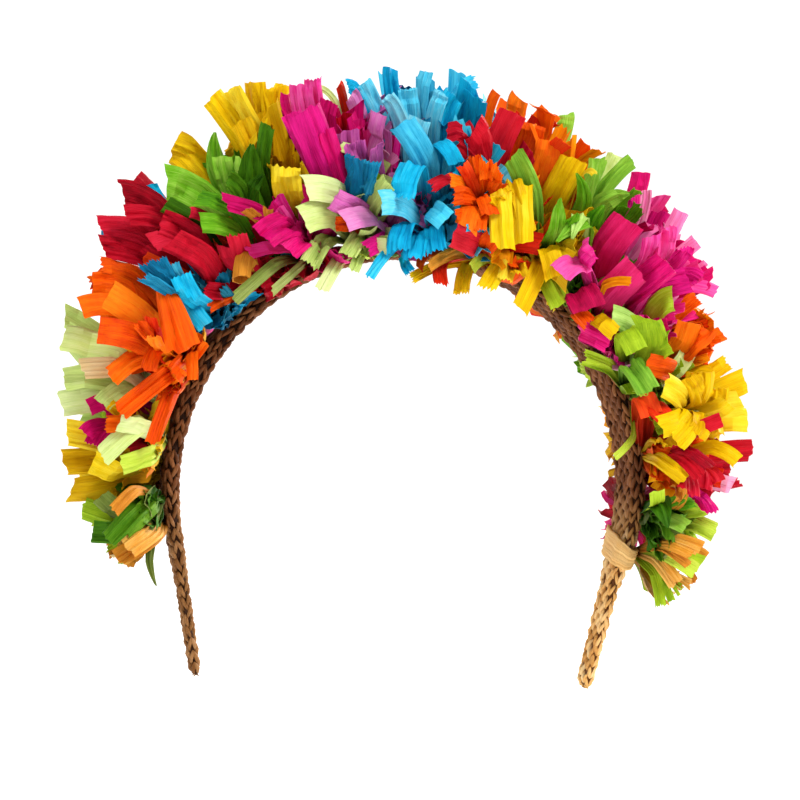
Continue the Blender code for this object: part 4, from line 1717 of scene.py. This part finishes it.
        Laid((472, 142), (446, 134), 28, 7, 3, "folded", "crimson"),
        Laid((486, 124), (497, 92), 14, 5, 1, "flat", "orange"),
        Laid((512, 120), (519, 98), 10, 8, 1, "flat", "orange"),
        Laid((522, 158), (534, 124), 24, 10, 3, "flat", "orange"),
        Laid((462, 178), (430, 187), 44, 5, 3, "torn", "cherry"),
        Laid((470, 150), (462, 126), 22, 7, 3, "flat", "crimson"),
        Laid((485, 160), (474, 128), 42, 10, 3, "flat", "cherry"),
        Laid((478, 164), (458, 142), 42, 7, 3, "folded", "cherry"),
    ),
    "front_tuft_10_orange": (
        Laid((480, 184), (474, 154), 48, 4.5, 3, "torn"),
        Laid((486, 190), (486, 160), 50, 4.5, 3, "torn"),
        Laid((466, 190), (450, 180), 52, 4.5, 3, "torn"),
        Laid((472, 184), (462, 164), 52, 4.5, 3, "folded", "scarlet"),
        Laid((470, 216), (456, 216), 54, 4, 3, "folded"),
        Laid((482, 212), (480, 232), 56, 4.5, 3, "torn"),
        Laid((492, 196), (499, 168), 50, 6, 4, "torn"),
        Laid((474, 200), (452, 197), 50, 6.5, 4, "torn"),
        Laid((474, 206), (466, 228), 54, 8, 5, "flat"),
        Laid((484, 198), (492, 216), 54, 6.5, 4, "folded"),
        Laid((478, 246), (453, 234), 51, 9, 4, "flat", "cherry"),
        Laid((482, 252), (493, 238), 48, 7, 3, "flat"),
        Laid((482, 230), (466, 228), 56, 2.5, 1, "flat", "turquoise"),
        Laid((456, 252), (428, 268), 46, 4.5, 2, "folded", "natural"),
        Laid((442, 262), (442, 285), 45, 5, 2, "torn", "scarlet"),
        Laid((438, 266), (411, 279), 43, 4, 2, "torn", "gold"),
        Laid((428, 252), (420, 270), 42, 3.5, 1, "flat"),
        Laid((466, 270), (461, 295), 43, 5.5, 2, "torn", "gold"),
    ),
    "front_tuft_11_yellow": (
        Laid((530, 196), (513, 154), 46, 8.5, 3, "pleated", "spring_green"),
        Laid((499, 190), (503, 250), 56, 8.5, 6, "folded"),
        Laid((520, 184), (521, 245), 53, 8.5, 4, "flat"),
        Laid((512, 180), (528, 232), 50, 6, 5, "folded"),
        Laid((505, 205), (497, 192), 54, 8, 4, "torn"),
        Laid((505, 262), (485, 290), 45, 6.5, 2, "torn"),
        Laid((512, 260), (505, 282), 44, 6, 2, "torn"),
        Laid((516, 256), (521, 277), 44, 6, 2, "torn", "gold"),
        Laid((486, 258), (472, 269), 46, 4, 2, "flat", "lime"),
        Laid((541, 264), (520, 310), 48, 6.8, 4, "flat"),
        Laid((546, 246), (556, 278), 50, 7.5, 4, "flat"),
        Laid((548, 280), (562, 306), 43, 8.5, 5, "folded", "lime"),
        Laid((554, 236), (560, 198), 50, 8.5, 4, "blade", "leaf_green"),
        Laid((564, 234), (579, 212), 50, 7.5, 3, "blade", "leaf_green"),
    ),
    "crest_tuft_12_amber": (
        Laid((556, 192), (575, 158), 28, 10, 3, "pleated", "yellow"),
        Laid((542, 180), (552, 140), 26, 10, 3, "flat", "orange"),
        Laid((560, 178), (568, 140), 18, 9, 2, "pleated"),
        Laid((540, 150), (547, 114), 4, 6, 1, "flat", "orange"),
        Laid((562, 138), (566, 114), 0, 6, 1, "flat", "leaf_green"),
    ),
    "crest_tuft_13_leaf_green": (
        Laid((590, 190), (598, 158), 20, 9, 3, "pleated", "spring_green"),
        Laid((604, 188), (633, 160), 22, 6.0, 2, "folded", "spring_green"),
        Laid((606, 176), (616, 155), 8, 7, 1, "flat", "pale_green"),
        Laid((600, 206), (630, 194), 32, 8.5, 3, "blade", "spring_green"),
        Laid((584, 204), (576, 172), 36, 6.5, 2, "blade"),
        Laid((580, 177), (595, 175), 36, 2.5, 1, "torn", "yellow"),
    ),
    "front_tuft_12_leaf_green": (
        Laid((584, 222), (556, 243), 48, 8, 4, "blade"),
        Laid((580, 216), (572, 240), 50, 7, 4, "blade", "spring_green"),
        Laid((590, 226), (604, 206), 42, 7.5, 4, "blade"),
    ),
    "crest_tuft_14_hot_pink": (
        Laid((600, 258), (629, 220), 42, 12, 4, "flat", "raspberry"),
        Laid((606, 300), (638, 268), 46, 12, 4, "folded", "raspberry"),
        Laid((660, 248), (682, 211), 24, 6.5, 2, "flat", "blush"),
        Laid((662, 256), (668, 226), 30, 7, 2, "torn"),
        Laid((674, 260), (697, 241), 20, 6, 2, "pleated", "blush"),
        Laid((672, 266), (686, 246), 30, 6, 2, "torn"),
        Laid((676, 276), (700, 280), 26, 6, 2, "torn"),
        Laid((672, 284), (717, 292), 14, 5.5, 2, "flat"),
        Laid((684, 278), (706, 262), 8, 2.6, 0, "flat", "blush"),
        Laid((648, 264), (656, 234), 42, 10, 4, "pleated"),
        Laid((640, 284), (668, 262), 44, 10, 4, "pleated", "magenta"),
        Laid((655, 290), (690, 280), 34, 9, 3, "pleated"),
        Laid((634, 200), (641, 172), 0, 7, 1, "flat", "magenta"),
        Laid((638, 222), (644, 190), 12, 5.5, 1, "pleated", "blush"),
        Laid((630, 224), (634, 196), 20, 5, 1, "torn"),
    ),
    "front_tuft_13_hot_pink": (
        Laid((582, 264), (593, 248), 55, 8, 4, "flat"),
        Laid((586, 262), (560, 273), 53, 9, 5, "flat"),
        Laid((602, 286), (632, 282), 55, 3.2, 1, "folded", "amber"),
        Laid((578, 290), (590, 309), 49, 12, 5, "flat", "raspberry"),
        Laid((574, 308), (590, 325), 47, 6, 2, "torn", "orange"),
        Laid((594, 318), (616, 334), 48, 6, 3, "flat", "yellow"),
        Laid((580, 328), (611, 343), 44, 8, 2, "folded", "magenta"),
    ),
    "front_tuft_14_lime": (
        Laid((652, 312), (673, 298), 36, 9, 3, "flat"),
        Laid((636, 332), (612, 316), 46, 8, 4, "flat", "spring_green"),
        Laid((652, 344), (646, 318), 52, 10, 5, "flat"),
        Laid((622, 330), (637, 352), 53, 8, 6, "flat"),
        Laid((656, 352), (670, 342), 48, 8, 4, "flat"),
        Laid((628, 362), (650, 393), 47, 8.5, 4, "pleated", "spring_green"),
        Laid((610, 368), (584, 357), 40, 5.5, 2, "torn"),
        Laid((634, 436), (614, 458), 40, 2.6, 1, "folded"),
    ),
    "crest_tuft_15_orange": (
        Laid((674, 315), (698, 297), 18, 6, 2, "torn"),
        Laid((692, 346), (723, 333), 14, 5.5, 1, "flat"),
        Laid((684, 350), (708, 330), 30, 9, 3, "flat"),
        Laid((676, 352), (690, 322), 32, 9, 3, "flat"),
        Laid((672, 372), (646, 364), 44, 8, 4, "flat"),
        Laid((690, 325), (702, 316), 8, 7, 1, "flat", "lime"),
    ),
    "crest_tuft_16_yellow": (
        Laid((684, 402), (664, 384), 46, 9, 4, "folded"),
        Laid((684, 418), (658, 428), 50, 8, 4, "folded"),
        Laid((698, 402), (690, 376), 44, 7, 4, "folded"),
        Laid((708, 412), (728, 402), 36, 7, 4, "flat"),
        Laid((702, 418), (716, 434), 44, 6, 4, "folded", "gold"),
        Laid((692, 398), (700, 370), 40, 10, 3, "pleated"),
        Laid((704, 398), (745, 380), 22, 9, 3, "flat"),
        Laid((706, 408), (742, 402), 26, 9, 3, "folded"),
        Laid((708, 420), (748, 420), 18, 9, 3, "flat"),
        Laid((692, 416), (674, 442), 50, 9, 5, "folded"),
        Laid((700, 414), (696, 436), 48, 8, 5, "folded"),
        Laid((706, 405), (716, 388), 34, 9, 4, "torn"),
        Laid((700, 380), (728, 362), 14, 6, 2, "torn"),
    ),
    "front_tuft_15_orange": (
        Laid((648, 402), (667, 420), 45, 8, 3, "flat", "scarlet"),
        Laid((640, 392), (652, 416), 43, 8, 3, "flat", "scarlet"),
        Laid((657, 458), (686, 480), 48, 5.5, 3, "folded", "yellow"),
        Laid((662, 436), (674, 446), 48, 7, 3, "torn", "yellow"),
    ),
    "crest_tuft_17_crimson": (
        Laid((674, 440), (722, 419), 48, 5.5, 3, "flat", "cherry"),
        Laid((700, 454), (753, 450), 26, 8, 2, "folded", "cherry"),
        Laid((678, 466), (684, 490), 48, 4.5, 2, "folded", "cherry"),
        Laid((686, 468), (694, 497), 47, 4.5, 2, "folded"),
        Laid((676, 454), (700, 478), 52, 5, 3, "folded", "cherry"),
        Laid((680, 448), (712, 468), 52, 4.5, 3, "folded"),
        Laid((700, 468), (704, 490), 42, 6, 3, "folded"),
        Laid((704, 470), (718, 484), 40, 6, 3, "folded", "cherry"),
        Laid((708, 446), (738, 462), 42, 5.5, 4, "flat", "yellow"),
        Laid((694, 492), (711, 514), 26, 6, 2, "torn", "hot_pink"),
        Laid((714, 482), (733, 486), 12, 6.5, 2, "flat", "blush"),
    ),
    "front_tuft_16_moss_green": (
        Laid((658, 502), (668, 528), 44, 9, 5, "blade"),
        Laid((656, 506), (657, 491), 48, 5.5, 2, "flat", "lime"),
        Laid((672, 520), (687, 527), 42, 6, 4, "flat", "leaf_green"),
        Laid((676, 485), (678, 499), 44, 3, 1, "torn", "natural"),
        Laid((672, 505), (692, 500), 38, 7, 4, "folded", "leaf_green"),
    ),
    "crest_tuft_18_lime": (
        Laid((676, 506), (685, 487), 42, 4, 2, "folded", "natural"),
        Laid((692, 522), (716, 533), 24, 7, 2, "pleated"),
        Laid((688, 510), (700, 508), 30, 7, 3, "flat"),
        Laid((672, 553), (700, 566), 22, 8, 2, "flat"),
    ),
    "crest_tuft_19_natural": (
        Laid((668, 536), (704, 546), 32, 3.6, 2, "folded"),
        Laid((666, 540), (700, 552), 34, 3.4, 2, "folded"),
        Laid((664, 544), (692, 556), 36, 3.4, 2, "folded"),
        Laid((662, 547), (690, 566), 34, 3.4, 2, "folded"),
        Laid((664, 552), (697, 572), 30, 6, 2, "flat", "lime"),
        Laid((660, 558), (680, 582), 28, 3.2, 1, "folded"),
        Laid((654, 560), (674, 588), 27, 3.2, 1, "folded"),
        Laid((654, 572), (661, 608), 22, 4, 1, "torn", "lime"),
        Laid((660, 576), (672, 602), 16, 3, 1, "flat", "lime"),
        Laid((690, 548), (706, 557), 10, 4, 1, "folded"),
    ),
}
print(sum(len(rows) for rows in LAID.values()), "ribbons placed by hand")

# %% Laying them from their tuft's foot
VIA_SHARE = 0.72
TURN_SPREAD = 0.3
LAID_ROOT = 0.6
WIDENING_ROOT = 0.12
LAID_TWIST = 0.15
LAID_CUP = 0.08
LAID_SLANT = 0.3
LAID_RIPPLES = (0.01, 0.05)
LAID_SEED = 3


def laid_line(foot, row):
    """From the foot past via to the tip, bowed to the viewer."""
    via = photo_point(*row.via, row.forward * VIA_SHARE * MM)
    tip = photo_point(*row.tip, row.forward * MM)
    line = line_through(foot, via, tip)
    bow = np.sin(math.pi * np.linspace(0, 1, STATIONS))[:, None]
    return line + row.arch * MM * bow * np.array(TOWARDS_CAMERA)


def laid_ribbon(node, row, chance):
    line = laid_line(LOCKS[node][0], row)
    heading = unit(line[-1] - line[STATIONS // 2])
    flat = unit(np.cross(heading, np.array(TOWARDS_CAMERA)))
    turn = float(chance.normal(0, TURN_SPREAD))
    flat = np.array(Matrix.Rotation(turn, 3, Vector(heading)) @ Vector(flat))
    return Ribbon(
        kind=row.kind if row.kind == "rolled" else "fine_" + row.kind,
        dye=row.dye or dye_of(node),
        line=line,
        flat=flat,
        width=row.width * MM,
        root_width=LAID_ROOT if row.widest_at == WIDEST_AT else WIDENING_ROOT,
        twist=float(chance.normal(0, LAID_TWIST)),
        cup=float(chance.normal(0, LAID_CUP)),
        slant=float(chance.normal(0, LAID_SLANT)),
        ripple=rippled(row.kind, float(chance.uniform(*LAID_RIPPLES))),
        widest_at=row.widest_at,
    )


def lay_by_hand(grown, chance):
    for node, rows in LAID.items():
        grown[node] += [laid_ribbon(node, row, chance) for row in rows]


lay_by_hand(GROWN, np.random.default_rng(LAID_SEED))
print(sum(len(ribbons) for ribbons in GROWN.values()), "ribbons in all")

# %% Joining each tuft
TRIANGLES = []
for node, ribbons in GROWN.items():
    piece = linked(node + "_ribbons", tuft_mesh(node + "_ribbons", ribbons))
    piece.data.calc_loop_triangles()
    TRIANGLES.append(len(piece.data.loop_triangles))
    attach(piece, "root")
    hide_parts(node)
print("tufts dressed, with", sum(TRIANGLES), "triangles,", max(TRIANGLES), "in the fullest")
